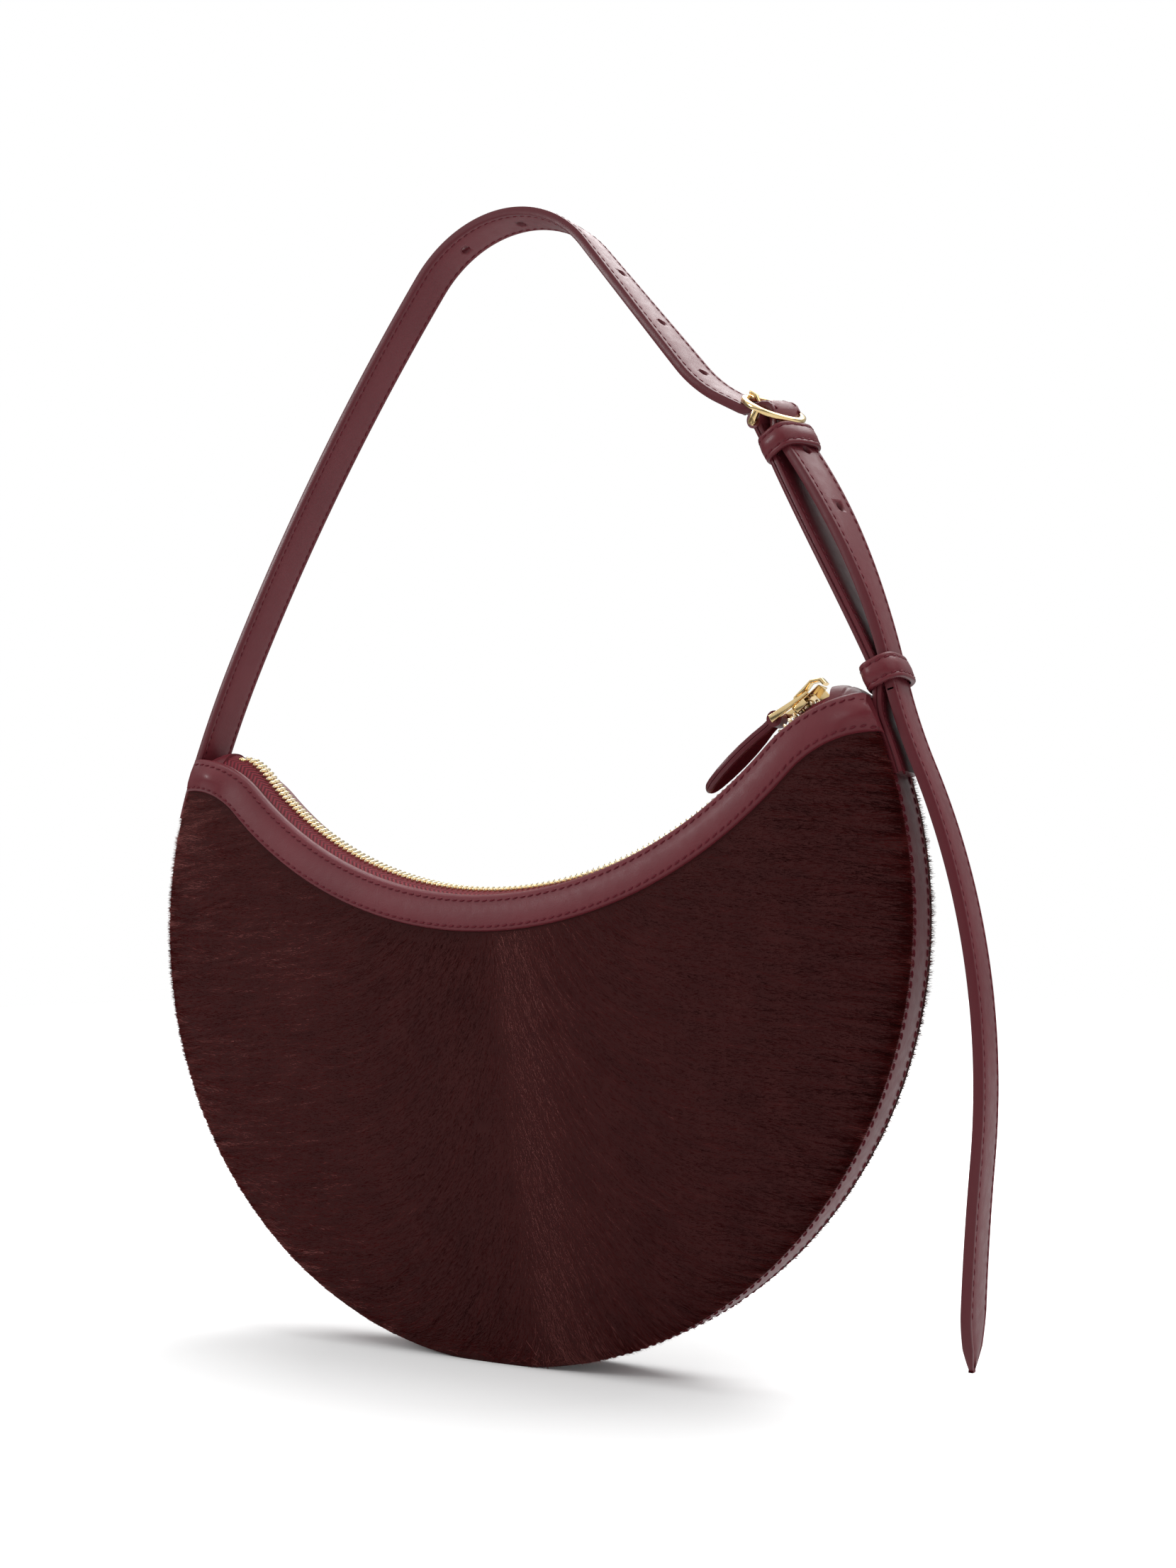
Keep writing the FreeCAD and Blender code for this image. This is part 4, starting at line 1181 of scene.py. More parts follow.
right_half = [
    (bridge_shoulder, slider_top + bridge_height), (bridge_half, foot + bridge_upright), (bridge_half, foot)]
profile = np.array([(-ahead, above) for ahead, above in right_half[::-1]] + right_half)
middle = np.array((0.0, foot + bridge_aim))
for place in np.linspace(0, len(profile) - 1, 41):
    number = min(int(place), len(profile) - 2)
    outer = profile[number] + (profile[number + 1] - profile[number]) * (place - number)
    inner = outer + (middle - outer) / np.hypot(*(middle - outer)) * bridge_thickness
    row = []
    for out, aside in squared(np.linspace(0, 360, 16, endpoint=False), bridge_roundness):
        depth = (outer + inner) / 2 + (outer - inner) / 2 * out
        row.append((bridge_shift + depth[0], bridge_width / 2 * aside, depth[1]))
    sections.append(placed(row, slider_spot, slider_angle))
bridge = loft("slider_ring", sections, [gold_plate], sharp=32)
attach(bridge, "slider")

# Pull loop: two flat gold-plated bars that widen away from the slider, joined by a rod at each end.
# The thin rod turns in the slider's ring, and the thick one carries the tab.
pull_wire = 1.3
pull_length = 12.7
pull_half = 3.35
pull_lean = 169.2
pull_slim = 0.42
pull_deep = 1.25
pull_room = 0.05
pull_round = 0.18

pull_rise = slider_top + pull_room + pull_wire / 2
pull_spot = slider_spot + polar(slider_angle) * bridge_middle + polar(slider_angle + 90) * pull_rise
pull_angle = slider_angle + pull_lean
shape = bmesh.new()
wire = pull_wire / 2
bar = [
    (-pull_slim, -pull_slim), (pull_length + wire, -pull_deep),
    (pull_length + wire, pull_deep), (-pull_slim, pull_slim)]
for side in (-1, 1):
    inner, outer = sorted((side * (pull_half - wire), side * (pull_half + wire)))
    plate(shape, bar, inner, outer, pull_round, upright=True)
rod(shape, (0, -pull_half, 0), (0, pull_half, 0), pull_slim)
rod(shape, (pull_length, -pull_half, 0), (pull_length, pull_half, 0), wire)
pull = local_piece("pull_loop", shape, pull_spot, pull_angle, [gold_plate])
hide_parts("pull_bar")
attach(pull, "pull")

# Pull tab: a leaf of two layers of leather, glued and painted along the edge, with a narrow neck that
# is folded round the loop's bar.
tab_lean = 10.5
tab_layer = 1.6
tab_neck_half = 2.2
tab_half_widths = (
    (1.4, 2.1), (4, 2.3), (8, 3.6), (13, 4.5), (18, 4.7), (23, 4.2), (27, 3.2), (29.5, 2.0),
    (30.6, 1.1), (31, 0.4))
tab_tip_round = 2.6
tab_tip_least = 0.2
tab_edge_soft = 0.7
tab_crown = 0.12
tab_groove = (0.14, 0.25)
tab_back_speckle = 0.8
neck_clearance = 0.45


def leaf_section(half, thickness):
    """Two glued layers with a fine groove between them round the edge."""
    top = thickness / 2
    soft = min(tab_edge_soft, half / 2)
    lip, groove = tab_groove
    upper = [
        (half * 0.5, top + tab_crown), (half - soft, top), (half - soft * 0.25, top - soft * 0.35),
        (half, top - soft), (half, lip),
    ]
    side = upper + [(half - groove, 0.0)] + [(y, -rise) for y, rise in upper[::-1]]
    return side + [(-y, rise) for y, rise in side[::-1]]


def eye(shape, radius, wall, low, high):
    """Adds a tube across the local frame, about its origin."""
    count = 28
    rings = []
    for part, y in ((radius, low), (radius + wall, low), (radius + wall, high), (radius, high)):
        spokes = polar(np.linspace(0, 360, count, endpoint=False)) * part
        rings.append([shape.verts.new((ahead, y, above)) for ahead, above in spokes])
    for first, second in zip(rings, rings[1:] + rings[:1]):
        for place in range(count):
            after = (place + 1) % count
            shape.faces.new((first[place], first[after], second[after], second[place]))


# Back of the tab: darker than its face and matt with no gloss at all, painted shade for the shade that
# falls under the tab, mottled by a fine noise.
tab_back_shade, tree, shader = new_material("tab_back_painted_shade")
place = node(tree, "ShaderNodeTexCoord")
underside_noise = node(tree, "ShaderNodeTexNoise", {
    "Vector": place.outputs["Object"], "Scale": 1 / (tab_back_speckle * MM), "Detail": 3.0})
tint = node(tree, "ShaderNodeMix", {
    0: underside_noise.outputs["Fac"], 6: linear(leather_deep), 7: linear(edge_colour)}, data_type="RGBA")
give(shader, {"Base Color": tint.outputs[2], "Roughness": 0.95, "Specular IOR Level": 0.0})

tab_angle = pull_angle + tab_lean
tab_spot = pull_spot + polar(pull_angle) * pull_length
reaches, halves = zip(*tab_half_widths)
sections = []
for ahead in np.linspace(reaches[0], reaches[-1], 60):
    half = np.interp(ahead, reaches, halves)
    rounding = math.sqrt(1 - max(0.0, 1 - (reaches[-1] - ahead) / tab_tip_round) ** 2)
    section = leaf_section(half, 2 * tab_layer * max(tab_tip_least, rounding))
    sections.append(placed([(ahead, y, rise) for y, rise in section], tab_spot, tab_angle))
edge_columns = tuple(range(2, 8)) + tuple(range(13, 19))
# Columns of the tab's back, which take its painted shade.
back_columns = (0, 20, 21)
leaf = loft("pull_tab_leaf", sections, [calf_leather, painted_edge, tab_back_shade],
            second=edge_columns, third=back_columns)
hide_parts("pull_tab")
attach(leaf, "tab")
shape = bmesh.new()
eye(shape, wire + neck_clearance, tab_layer - neck_clearance / 2, -tab_neck_half, tab_neck_half)
neck = local_piece("pull_tab_neck", shape, tab_spot, tab_angle, [calf_leather], sharp=50)
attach(neck, "tab")

# Long strap: two layers of calf leather sewn together near both edges and painted along them. It is
# sewn to the left horn, goes over an arch and through the buckle, and ends in a pointed tail.
strap_width = 14.5
strap_step = 1.5
strap_thickness = 3.0
strap_leaving_angle = 2.2
strap_sewn_angle = 5.7
left_rise_length = 46.6
left_run_angle = 61.7
left_run_turn = -11.3
crown_turn = -104.4
right_legs = ((59.1, 0), (18.3, 21.0), (14.4, 0))
buckle_inset = 27.6
buckle_stand = 93.5
buckle_exit = (10.3, -24.6)
lower_keeper_stand = 9.4
lower_keeper_place_angle = 2.5
tail_legs = ((28.7, 9.2), (111.0, -27.8), (56.0, 4.0))
strap_corner = 0.55
strap_crown = 0.22
stitch_groove = 0.2
groove_outer = 0.45
groove_inner = 0.6
corner_ease = 0.16
layer_groove = 0.4
layer_gap = 0.06
layer_lip = 0.3
ring_ahead = 1.0
prong_hole_back = 4.9
ring_bulge = 4.2
ring_bulge_ahead = 1.0
ring_bulge_half = 7.6
buckle_roll = 16.0
roll_before = 120.0
roll_hold = 30.0
roll_rest = 14.0
roll_soft = 12.0
hole_diameter = 3.2
hole_pitch_above = 24.3
hole_pitch_below = 21.5
tail_cut_past_keeper = 6.5
tail_point_length = 16.0
tail_point_step = 0.35
tail_point_powers = (1.5, 0.85)
tail_point_width = 1.4
tail_pared = 0.4
tail_pared_share = 0.4
tail_overlap = 0.5


def strap_section(width, thickness, doubled=False):
    """Rounded strip, lightly padded between its rows of stitches, and the columns of its painted edges."""
    half = width / 2
    top = thickness / 2
    row = half - stitch_inset
    face = [
        (half, top - strap_corner), (half - corner_ease, top - corner_ease), (half - strap_corner, top),
        (row + groove_outer, top), (row, top - stitch_groove), (row - groove_inner, top),
        (row / 2, top + strap_crown), (0.0, top + strap_crown),
    ]
    if doubled:
        face = [(half - layer_groove, layer_gap), (half, layer_lip)] + face
    face += [(-y, rise) for y, rise in face[-2::-1]]
    section = face + [(y, -rise) for y, rise in face[::-1]]
    near = 4 if doubled else 2
    count = len(face)
    sides = [*range(near), *range(count - 1 - near, count + near), *range(2 * count - 1 - near, 2 * count)]
    return section, sides


def stitch_lines(path_stops, rises):
    """Paths of the stitches near both edges of a strap, on the faces at the given heights."""
    rows = []
    for rise in rises:
        for y in (stitch_inset - strap_width / 2, strap_width / 2 - stitch_inset):
            row = []
            for spot, heading, done, roll, shift in path_stops:
                local = [(0.0, y, rise), (0.0, y, rise + math.copysign(1, rise))]
                point, tip = placed(local, spot, heading, roll, shift)
                row.append((point, tip - point))
            rows.append(row)
    return rows


def cut_away(piece, cutter_rows):
    """Cuts lofted shapes out of a piece."""
    cutters = [loft("cutter", rows, []) for rows in cutter_rows]
    for cutter in cutters:
        modifier = piece.modifiers.new("cut", "BOOLEAN")
        modifier.object = cutter
        modifier.operation = "DIFFERENCE"
        modifier.solver = "EXACT"
    mesh = bpy.data.meshes.new_from_object(piece.evaluated_get(bpy.context.evaluated_depsgraph_get()))
    piece.modifiers.clear()
    piece.data = mesh
    for cutter in cutters:
        bpy.data.objects.remove(cutter)


def hole_rows(stop):
    """Round cutter through a strap at a stop of its path."""
    spot, heading, done, roll, shift = stop
    spokes = polar(np.linspace(0, 360, 20, endpoint=False)) * hole_diameter / 2
    rows = []
    for rise in (-strap_thickness, strap_thickness):
        rows.append(placed([(ahead, y, rise) for ahead, y in spokes], spot, heading, roll, shift))
    return rows


def arc_to(spot, heading, end):
    """Length and turn of the one arc that leaves a spot at a heading and meets the end."""
    chord = end - spot
    turn = 2 * (bearing(chord) - heading)
    half_turn = math.radians(turn / 2)
    return np.hypot(*chord) * half_turn / math.sin(half_turn), turn


strap_circle = body_radius + strap_thickness / 2
leaving = tip_body_angle - strap_leaving_angle
sewn = leaving - strap_sewn_angle
left_legs = (
    (strap_circle * math.radians(strap_sewn_angle), -strap_sewn_angle),
    (left_rise_length, left_run_angle + leaving - 90))
strap_left = walk(body_centre + polar(180 - sewn) * strap_circle, 90 - sewn, left_legs)
run_start, _ = leg_end(strap_left[-1], left_rise_length)
crown_angle = left_run_angle + left_run_turn
nowhere = np.zeros(2)
right_reach, _ = leg_end(walk(nowhere, crown_angle + crown_turn, right_legs)[-1], right_legs[-1][0])
run_reach, _ = leg_end((nowhere, left_run_angle, 1, left_run_turn), 1)
crown_reach, _ = leg_end((nowhere, crown_angle, 1, crown_turn), 1)
buckle_spot = tip_centre + (-buckle_inset, buckle_stand)
arch_gap = buckle_spot - right_reach - run_start
run_length, crown_length = np.linalg.solve(np.stack((run_reach, crown_reach), axis=1), arch_gap)
arch_legs = ((run_length, left_run_turn), (crown_length, crown_turn)) + right_legs + (buckle_exit,)
strap_run = strap_left + walk(run_start, left_run_angle, arch_legs)
exit_spot, exit_heading = leg_end(strap_run[-1], buckle_exit[0])
lower_keeper_bearing = tip_body_angle + lower_keeper_place_angle
lower_keeper_spot = body_centre + polar(lower_keeper_bearing) * (body_radius + lower_keeper_stand)
strap_run += walk(exit_spot, exit_heading, (arc_to(exit_spot, exit_heading, lower_keeper_spot),) + tail_legs)
buckle_station = path_length(strap_run[:7])
keeper_station = path_length(strap_run[:9])
strap_length = path_length(strap_run)
buckle_heading = strap_run[6][1]
tail_cut = keeper_station + tail_cut_past_keeper


def strap_stops(spacing, first, last=math.inf):
    """Stops along the strap, which rises through the ring and rolls to the front about the buckle."""
    rolls = ((buckle_station - roll_before, 0.0), (buckle_station - roll_hold, buckle_roll),
             (buckle_station + roll_hold, buckle_roll), (keeper_station - roll_rest, 0.0))
    slips = np.linspace(-roll_soft, roll_soft, 5)
    found = []
    for spot, heading, done, _, _ in stops(strap_run, spacing, first, last):
        apart = np.clip((done - buckle_station - ring_ahead - ring_bulge_ahead) / ring_bulge_half, -1, 1)
        spot = spot + polar(heading + 90) * ring_bulge * math.cos(math.pi / 2 * apart) ** 2
        roll = np.mean([np.interp(done + slip, *zip(*rolls)) for slip in slips])
        found.append((spot, heading, done, roll, 0.0))
    return found


section, edge_columns = strap_section(strap_width, strap_thickness)
upper_stops = strap_stops(strap_step, 0.0, tail_cut)
strap = loft("long_strap", swept(upper_stops, section), [calf_leather, painted_edge], second=edge_columns)
prong_station = buckle_station + ring_ahead - prong_hole_back
hole_places = [prong_station - number * hole_pitch_above for number in range(6, 0, -1)]
hole_places += [prong_station + number * hole_pitch_below for number in range(3)]
cut_away(strap, [hole_rows(strap_stops(1.0, place)[0]) for place in hole_places])
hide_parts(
    "strap_end_left", "strap_fold_left", "shoulder_strap", "tail_fold_upper", "strap_tail_held")
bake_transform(strap)
stitch_rise = strap_thickness / 2 - stitch_groove
seam_rises = (stitch_rise, -stitch_rise)
seam = stitched("long_strap_stitches", stitch_lines(upper_stops[2:], seam_rises))
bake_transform(seam)

tail_stops = stops(strap_run, strap_step, tail_cut - tail_overlap, strap_length - tail_point_length)
seam = stitched("strap_tail_stitches", stitch_lines(tail_stops, seam_rises))
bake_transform(seam)
sections = swept(tail_stops[:-1], section)
for stop in stops(strap_run, tail_point_step, strap_length - tail_point_length):
    left = (strap_length - stop[2]) / tail_point_length
    full = max(0.0, 1 - (1 - left) ** tail_point_powers[0]) ** tail_point_powers[1]
    width = tail_point_width + (strap_width - tail_point_width) * full
    pared = strap_thickness * (tail_pared + (1 - tail_pared) * min(1.0, left / tail_pared_share))
    sections += swept([stop], strap_section(width, pared)[0])
tail = loft("strap_tail_end", sections, [calf_leather, painted_edge], second=edge_columns)
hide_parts("tail_fold_lower", "strap_tail")
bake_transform(tail)

# Short strap: a doubled strip folded round the buckle's heel bar, slotted there for the prong, and
# sewn to the right horn.
bar_diameter = 2.0
bar_depth = 4.0
ring_thickness = 1.8
ring_gap = 0.2
chape_layer = 1.5
chape_bend_stand = 6.7
chape_bend_angle = 4.1
chape_bend_radius = 20.0
chape_sewn_angle = 5.8
prong_slot_length = 7.0
pin_clearance = 0.15
slide_clearance = 0.4
chape_hold = 16.0
upper_keeper_distance = 10.0
upper_keeper_gap = 5.0
chape_start = 0.6
seam_setback = 3.0
prong_eye_width = 2.0

ring_rise = ring_thickness / 2 + ring_gap + strap_thickness / 2
strap_at_buckle, _ = leg_end(strap_run[6], strap_run[6][2])
ring_centre = strap_at_buckle + polar(buckle_heading) * ring_ahead + polar(buckle_heading + 90) * ring_rise
bar_spot = ring_centre - polar(buckle_heading + 90) * bar_depth
bend_spot = body_centre + polar(tip_body_angle + chape_bend_angle) * (body_radius + chape_bend_stand)
chape_heading = bearing(bend_spot - bar_spot)
chape_circle = body_radius + chape_layer
first_bend = bend_spot + polar(chape_heading - 90) * chape_bend_radius
second_bend = right_crossing(body_centre, chape_circle + chape_bend_radius, first_bend, 2 * chape_bend_radius)
middle_heading = bearing(second_bend - first_bend) - 90
first_turn = middle_heading - chape_heading
second_turn = bearing(second_bend - body_centre) - 90 - middle_heading
chape_run = walk(bar_spot, chape_heading, (
    (np.hypot(*(bend_spot - bar_spot)), 0),
    (chape_bend_radius * math.radians(-first_turn), first_turn),
    (chape_bend_radius * math.radians(second_turn), second_turn),
    (chape_circle * math.radians(chape_sewn_angle), -chape_sewn_angle),
))
bar_bore = bar_diameter / 2 + pin_clearance
slot_half = prong_eye_width / 2 + slide_clearance
section, edge_columns = strap_section(strap_width, 2 * chape_layer, doubled=True)
bar_shift = (bar_depth - ring_rise) * math.sin(math.radians(buckle_roll))
upper_keeper_shift = upper_keeper_gap * math.sin(math.radians(buckle_roll))
chape_stops = []
for spot, heading, done, _, _ in stops(chape_run, strap_step, bar_bore + chape_start):
    share = float(soft_step(1 - (done - chape_hold) / (chape_run[0][2] - chape_hold)))
    aside = np.interp(done, (0.0, upper_keeper_distance), (bar_shift, upper_keeper_shift))
    chape_stops.append((spot, heading, done, buckle_roll * share, aside * share))
chape = loft("short_strap", swept(chape_stops, section), [calf_leather, painted_edge], second=edge_columns)
slot = []
corners = box(-chape_layer, prong_slot_length, -slot_half, slot_half)
for rise in (-2 * chape_layer, 2 * chape_layer):
    points = [(ahead, y, rise) for ahead, y in corners]
    slot.append(placed(points, bar_spot, chape_heading, buckle_roll, bar_shift))
cut_away(chape, [slot])
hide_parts("buckle_strap", "buckle_strap_fold", "buckle_strap_end")
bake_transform(chape)
chape_rise = chape_layer - stitch_groove
seam_stops = [stop for stop in chape_stops if stop[2] > prong_slot_length + seam_setback]
seam = stitched("short_strap_stitches", stitch_lines(seam_stops, (chape_rise, -chape_rise)))
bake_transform(seam)
shape = bmesh.new()
for side in (-1, 1):
    eye(shape, bar_bore, chape_layer, *sorted((side * slot_half, side * strap_width / 2)))
fold = local_piece(
    "short_strap_fold", shape, bar_spot, chape_heading, [calf_leather], 50, buckle_roll, bar_shift)
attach(fold, "strap")

# Buckle: a round ring, cast and gold-plated, with two lugs behind it that hold the heel bar. The short
# strap and the prong go round that bar, and the long strap goes through the ring.
ring_outer = 20.8
ring_inner = 16.0
lug_length = 2.3
lug_thickness = 1.8
lug_setback = 0.2
lug_round = 0.6
ring_roundness = 0.62

ring_shift = -ring_rise * math.sin(math.radians(buckle_roll))
ring_middle = (ring_outer + ring_inner) / 4
ring_half = (ring_outer - ring_inner) / 4
sections = []
for angle in np.linspace(0, 360, 96, endpoint=False):
    row = []
    for out, above in squared(np.linspace(0, 360, 20, endpoint=False), ring_roundness):
        ahead, y = polar(angle) * (ring_middle + ring_half * out)
        row.append((ahead, y, ring_thickness / 2 * above))
    sections.append(placed(row, ring_centre, buckle_heading, buckle_roll, ring_shift))
ring = loft("buckle_ring", sections, [gold_plate], ring=True, sharp=60)
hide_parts("buckle_frame")
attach(ring, "strap")
shape = bmesh.new()
lug_outer = ring_outer / 2 - lug_setback
lug = box(-lug_length / 2, lug_length / 2, -bar_depth - lug_length / 2, 0)
for side in (-1, 1):
    low, high = sorted((side * lug_outer, side * (lug_outer - lug_thickness)))
    plate(shape, lug, low, high, lug_round, upright=True)
rod(shape, (0, -lug_outer, -bar_depth), (0, lug_outer, -bar_depth), bar_diameter / 2)
lugs = local_piece(
    "buckle_lugs_and_bar", shape, ring_centre, buckle_heading, [gold_plate], 35, buckle_roll, ring_shift)
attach(lugs, "strap")

# Prong: gold-plated wire with an eye on the heel bar. It goes up through the strap's hole and rests
# on the ring.
prong_diameter = 1.4
prong_eye_wall = 1.2
prong_play = 0.3
prong_lean = 0.4
prong_bend_back = 7.6
prong_reach = 10.2
prong_rest_gap = 0.1
prong_soft = 0.8
prong_look = 0.9
prong_tip_least = 0.02

prong_half = prong_diameter / 2
prong_rest = ring_thickness / 2 + prong_rest_gap + prong_half
prong_below = -ring_rise - strap_thickness / 2 - prong_half
prong_above = -ring_rise + strap_thickness / 2 + prong_half
prong_points = np.array((
    (-bar_bore - prong_eye_wall / 2, -bar_depth), (-prong_hole_back + prong_lean, prong_below),
    (-prong_hole_back - prong_lean, prong_above), (-prong_bend_back, prong_rest), (-prong_reach, prong_rest)))
runs = np.concatenate(([0.0], np.cumsum(np.hypot(*np.diff(prong_points, axis=0).T))))


def prong_at(run):
    """Place on the prong's bent line at a distance from its eye."""
    return np.array([np.interp(run, runs, values) for values in prong_points.T])


sections = []
for run in np.linspace(0, runs[-1], 40):
    spot = np.mean([prong_at(run + slip) for slip in np.linspace(-prong_soft, prong_soft, 5)], axis=0)
    after = prong_at(run + prong_look) - prong_at(run - prong_look)
    aside = np.array((-after[1], after[0])) / np.hypot(*after)
    round_end = math.sqrt(max(prong_tip_least, 1 - max(0.0, 1 - (runs[-1] - run) / prong_half) ** 2))
    row = []
    for out, y in polar(np.linspace(0, 360, 14, endpoint=False)) * prong_half * round_end:
        row.append((spot[0] + aside[0] * out, y, spot[1] + aside[1] * out))
    sections.append(placed(row, ring_centre, buckle_heading, buckle_roll, ring_shift))
prong = loft("prong_wire", sections, [gold_plate], sharp=60)
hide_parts("buckle_prong")
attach(prong, "prong")
shape = bmesh.new()
eye_half = prong_eye_width / 2
eye(shape, bar_bore + prong_play, prong_eye_wall - prong_play, -eye_half, eye_half)
prong_eye = local_piece(
    "prong_eye", shape, bar_spot, buckle_heading, [gold_plate], 50, buckle_roll, bar_shift)
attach(prong_eye, "prong")

# Keepers: closed bands of leather that hold the tail against the short strap, slightly domed, with
# two rows of stitches round them. The upper one is fixed below the buckle, the lower one slides.
keeper_length = 8.0
keeper_wall = 1.6
keeper_square = 3.4
keeper_stitch = 2.5
keeper_edge = 0.3
keeper_ease = (0.25, 0.15)
keeper_round = 0.7
keeper_groove = (0.4, 0.5)
keeper_swell = 0.1
keeper_crown = 0.25
upper_keeper_reach = 9.4
lower_keeper_lean = 10.8
lower_keeper_room = (-6.4, 2.1)


def keeper(name, low, high, spot, heading, joint_body, roll=0.0, shift=0.0):
    """Band round both straps, with a room from low to high across them."""
    half_y = strap_width / 2 + slide_clearance + keeper_wall / 2
    half_rise = (high - low + keeper_wall) / 2
    middle = (high + low) / 2
    turns = np.linspace(0, 360, 120, endpoint=False)
    loop = squared(turns, 2 / keeper_square) * (half_y, half_rise)
    loop += (0.0, middle)
    ways = np.roll(loop, -1, axis=0) - np.roll(loop, 1, axis=0)
    outs = np.stack((ways[:, 1], -ways[:, 0]), axis=-1) / np.hypot(*ways.T)[:, None]
    half = keeper_length / 2
    face = keeper_wall / 2
    band = [
        (half, -keeper_edge), (half, keeper_edge), (half - keeper_ease[0], face - keeper_ease[1]),
        (half - keeper_round, face), (keeper_stitch + keeper_groove[0], face),
        (keeper_stitch, face - stitch_groove), (keeper_stitch - keeper_groove[1], face + keeper_swell),
        (0.0, face + keeper_crown),
    ]
    band += [(-ahead, out) for ahead, out in band[-2::-1]]
    band += [(keeper_edge - half, -face), (half - keeper_edge, -face)]
    sections = []
    for (y, rise), way in zip(loop, outs):
        row = [(ahead, y + way[0] * out, rise + way[1] * out) for ahead, out in band]
        sections.append(placed(row, spot, heading, roll, shift))
    piece = loft(name + "_band", sections, [calf_leather, painted_edge], ring=True,
                 second=(0, 1, 13, 14, 15, 16, 17))
    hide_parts(name)
    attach(piece, joint_body)
    rows = []
    out = face - stitch_groove
    for ahead in (-keeper_stitch, keeper_stitch):
        row = []
        for (y, rise), way in zip(np.vstack((loop, loop[:1])), np.vstack((outs, outs[:1]))):
            local = [(ahead, y + way[0] * part, rise + way[1] * part) for part in (out, out + 1)]
            point, tip = placed(local, spot, heading, roll, shift)
            row.append((point, tip - point))
        rows.append(row)
    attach(stitched(name + "_stitches", rows), joint_body)


upper_keeper_low = -chape_layer - pin_clearance
upper_keeper_spot = bar_spot + polar(chape_heading) * upper_keeper_distance
keeper("upper_keeper", upper_keeper_low, upper_keeper_low + upper_keeper_reach, upper_keeper_spot,
       chape_heading, "strap", buckle_roll, upper_keeper_shift)
lower_keeper_angle = strap_run[9][1] + lower_keeper_lean
keeper("lower_keeper", *lower_keeper_room, lower_keeper_spot, lower_keeper_angle, "keeper")

# Stage: a white floor and backdrop, as in a product studio. Only the camera sees the full white, and
# the light of the surround comes from above and behind, so that the leather keeps its depth.
floor_size = 4.0
floor_colour = "#E0E0E0"
floor_glow = 0.05
floor_mirrored = "#C8C8C8"
floor_far_glow = 1.0
floor_far = (0.06, 0.5)
surround_front = 0.06
surround_back = 0.56
surround_way = (0.22, 0.45, 0.86)
surround_turn = (-0.5, 0.9)
lamp_aim = Vector((0, 0, 0.15))


# Matt white floor: for the camera alone it glows, faintly at the bag's base and more from 6 cm out,
# so that it ends in pure white. This glow is painted light that pales the bag's cast shadow away from
# its base. Glossy rays see the floor greyer, a painted dimming of its reflection in the leather.
white_floor, tree, shader = new_material("matt_white_floor")
rays = node(tree, "ShaderNodeLightPath")
tint = node(tree, "ShaderNodeMix", {
    0: rays.outputs["Is Glossy Ray"], 6: linear(floor_colour), 7: linear(floor_mirrored)}, data_type="RGBA")
seen = node(tree, "ShaderNodeMath", {
    0: rays.outputs["Is Camera Ray"], 1: rays.outputs["Is Transmission Ray"],
}, operation="ADD", use_clamp=True)
place = node(tree, "ShaderNodeTexCoord")
apart = node(tree, "ShaderNodeVectorMath", {0: place.outputs["Object"]}, operation="LENGTH")
spread = node(tree, "ShaderNodeMapRange", {
    0: apart.outputs["Value"], 1: floor_far[0], 2: floor_far[1], 3: floor_glow, 4: floor_far_glow})
glow = node(tree, "ShaderNodeMath", {0: seen.outputs[0], 1: spread.outputs[0]}, operation="MULTIPLY")
give(shader, {
    "Base Color": tint.outputs[2], "Roughness": 1.0, "Specular IOR Level": 0.0,
    "Emission Color": (1.0, 1.0, 1.0, 1.0), "Emission Strength": glow.outputs[0]})
mesh = bpy.data.meshes.new("studio_floor")
corners = [(x * floor_size, y * floor_size, 0.0) for x, y in box(-1, 1, -1, 1)]
mesh.from_pydata(corners, [], [(0, 1, 2, 3)])
mesh.materials.append(white_floor)
floor = bpy.data.objects.new("studio_floor", mesh)
bpy.context.collection.objects.link(floor)

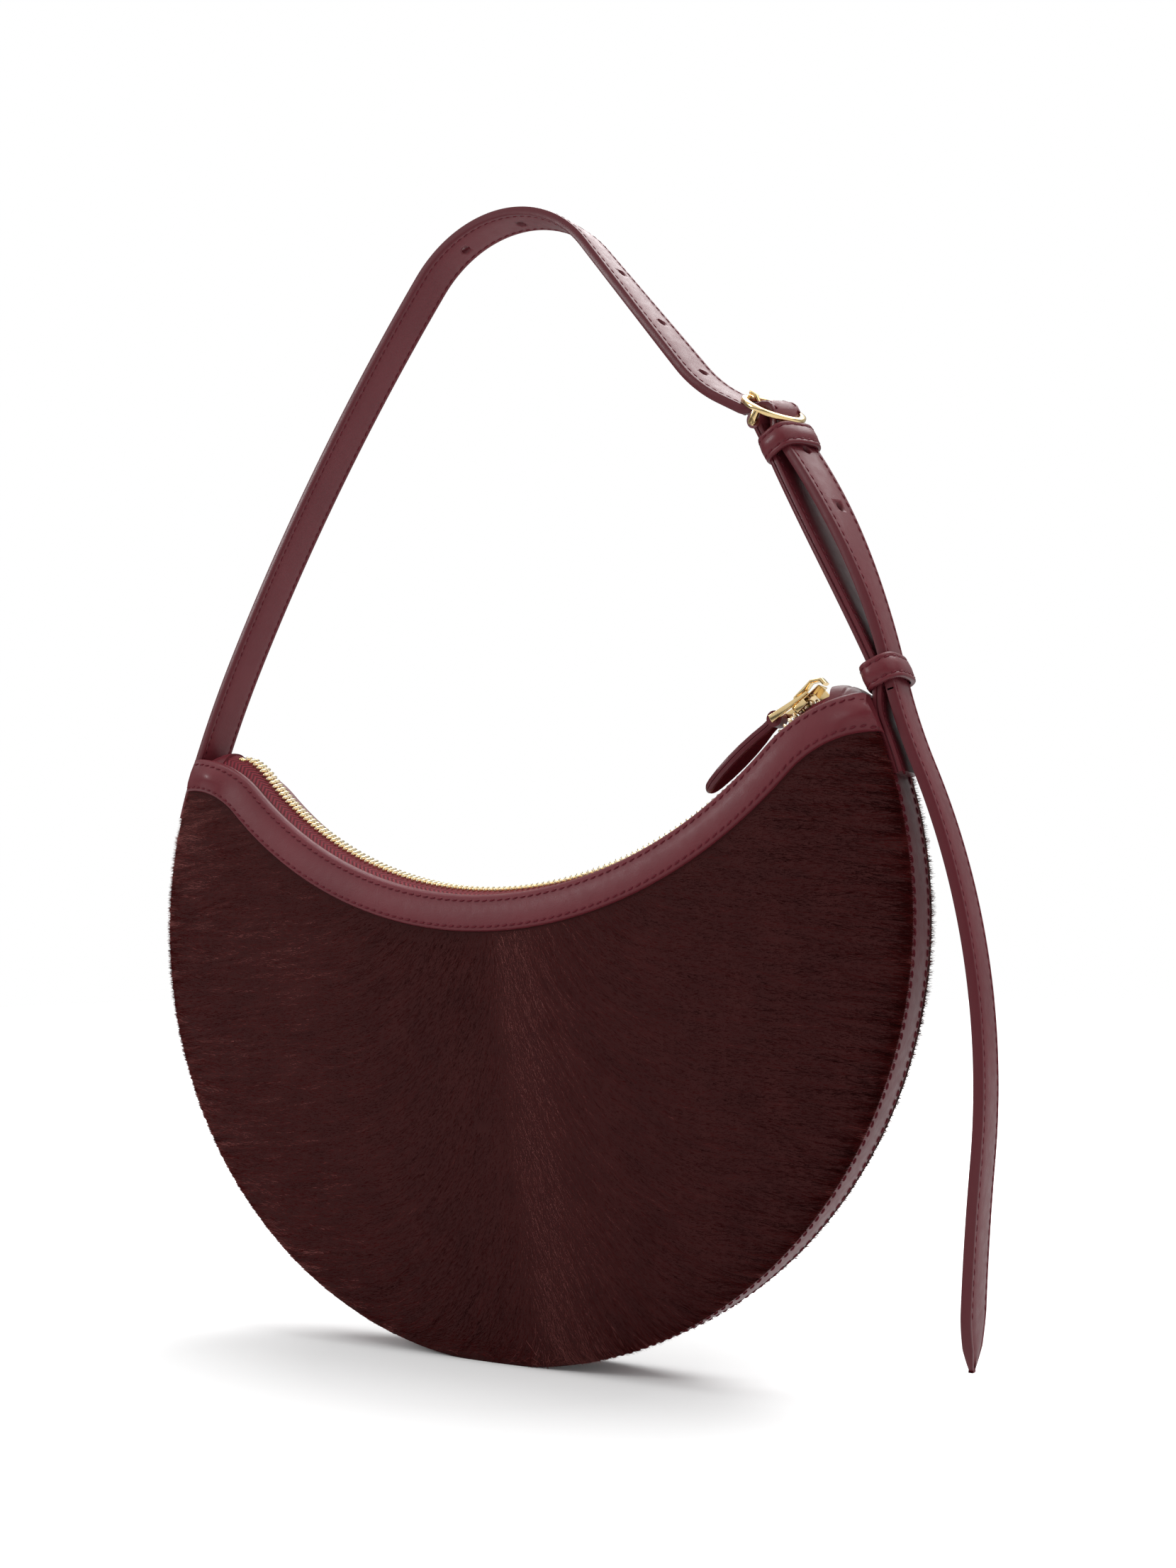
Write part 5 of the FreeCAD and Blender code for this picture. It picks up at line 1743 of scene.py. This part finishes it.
scene = bpy.context.scene
world = bpy.data.worlds.new("white_surround")
world.use_nodes = True
scene.world = world
tree = world.node_tree
rays = node(tree, "ShaderNodeLightPath")
seen = node(tree, "ShaderNodeMath", {
    0: rays.outputs["Is Camera Ray"], 1: rays.outputs["Is Transmission Ray"],
}, operation="ADD", use_clamp=True)
place = node(tree, "ShaderNodeTexCoord")
toward = node(tree, "ShaderNodeVectorMath", {
    0: place.outputs["Generated"], 1: surround_way}, operation="DOT_PRODUCT")
light = node(tree, "ShaderNodeMapRange", {
    0: toward.outputs["Value"], 1: surround_turn[0], 2: surround_turn[1],
    3: surround_front, 4: surround_back})
power = node(tree, "ShaderNodeMix", {0: seen.outputs[0], 2: light.outputs[0], 3: 1.0})
give(tree.nodes["Background"], {"Color": (1.0, 1.0, 1.0, 1.0), "Strength": power.outputs[0]})

for name, spot, size, watts in (
    ("key_lamp", (-0.7, -1.1, 1.3), 2.4, 10.5),
    ("fill_lamp", (1.0, -0.35, 1.3), 2.0, 15.0),
    ("top_lamp", (0.05, 0.42, 1.35), 1.3, 21.0),
    ("spark_lamp", (-0.95, -0.75, 0.65), 0.25, 4.0),
):
    lamp = bpy.data.lights.new(name, "AREA")
    lamp.size = size
    lamp.energy = watts
    holder = bpy.data.objects.new(name, lamp)
    holder.location = spot
    holder.rotation_euler = (lamp_aim - Vector(spot)).to_track_quat("-Z", "Y").to_euler()
    bpy.context.collection.objects.link(holder)

# Camera at the photograph's place.
camera_place = Vector((0.293625, -0.440328, 0.12333))
camera_right = Vector((0.858763, 0.512175, -0.014232))
camera_up = Vector((0.067368, -0.085333, 0.994072))
camera_ahead = Vector((-0.507925, 0.854631, 0.107785))
lens = bpy.data.cameras.new("photo_camera")
lens.lens = 37.353
lens.sensor_width = 36.0
lens.clip_start = 0.01
camera = bpy.data.objects.new("photo_camera", lens)
turn = Matrix((camera_right, camera_up, -camera_ahead)).transposed()
camera.matrix_world = Matrix.Translation(camera_place) @ turn.to_4x4()
bpy.context.collection.objects.link(camera)
scene.camera = camera
scene.view_settings.view_transform = "Standard"
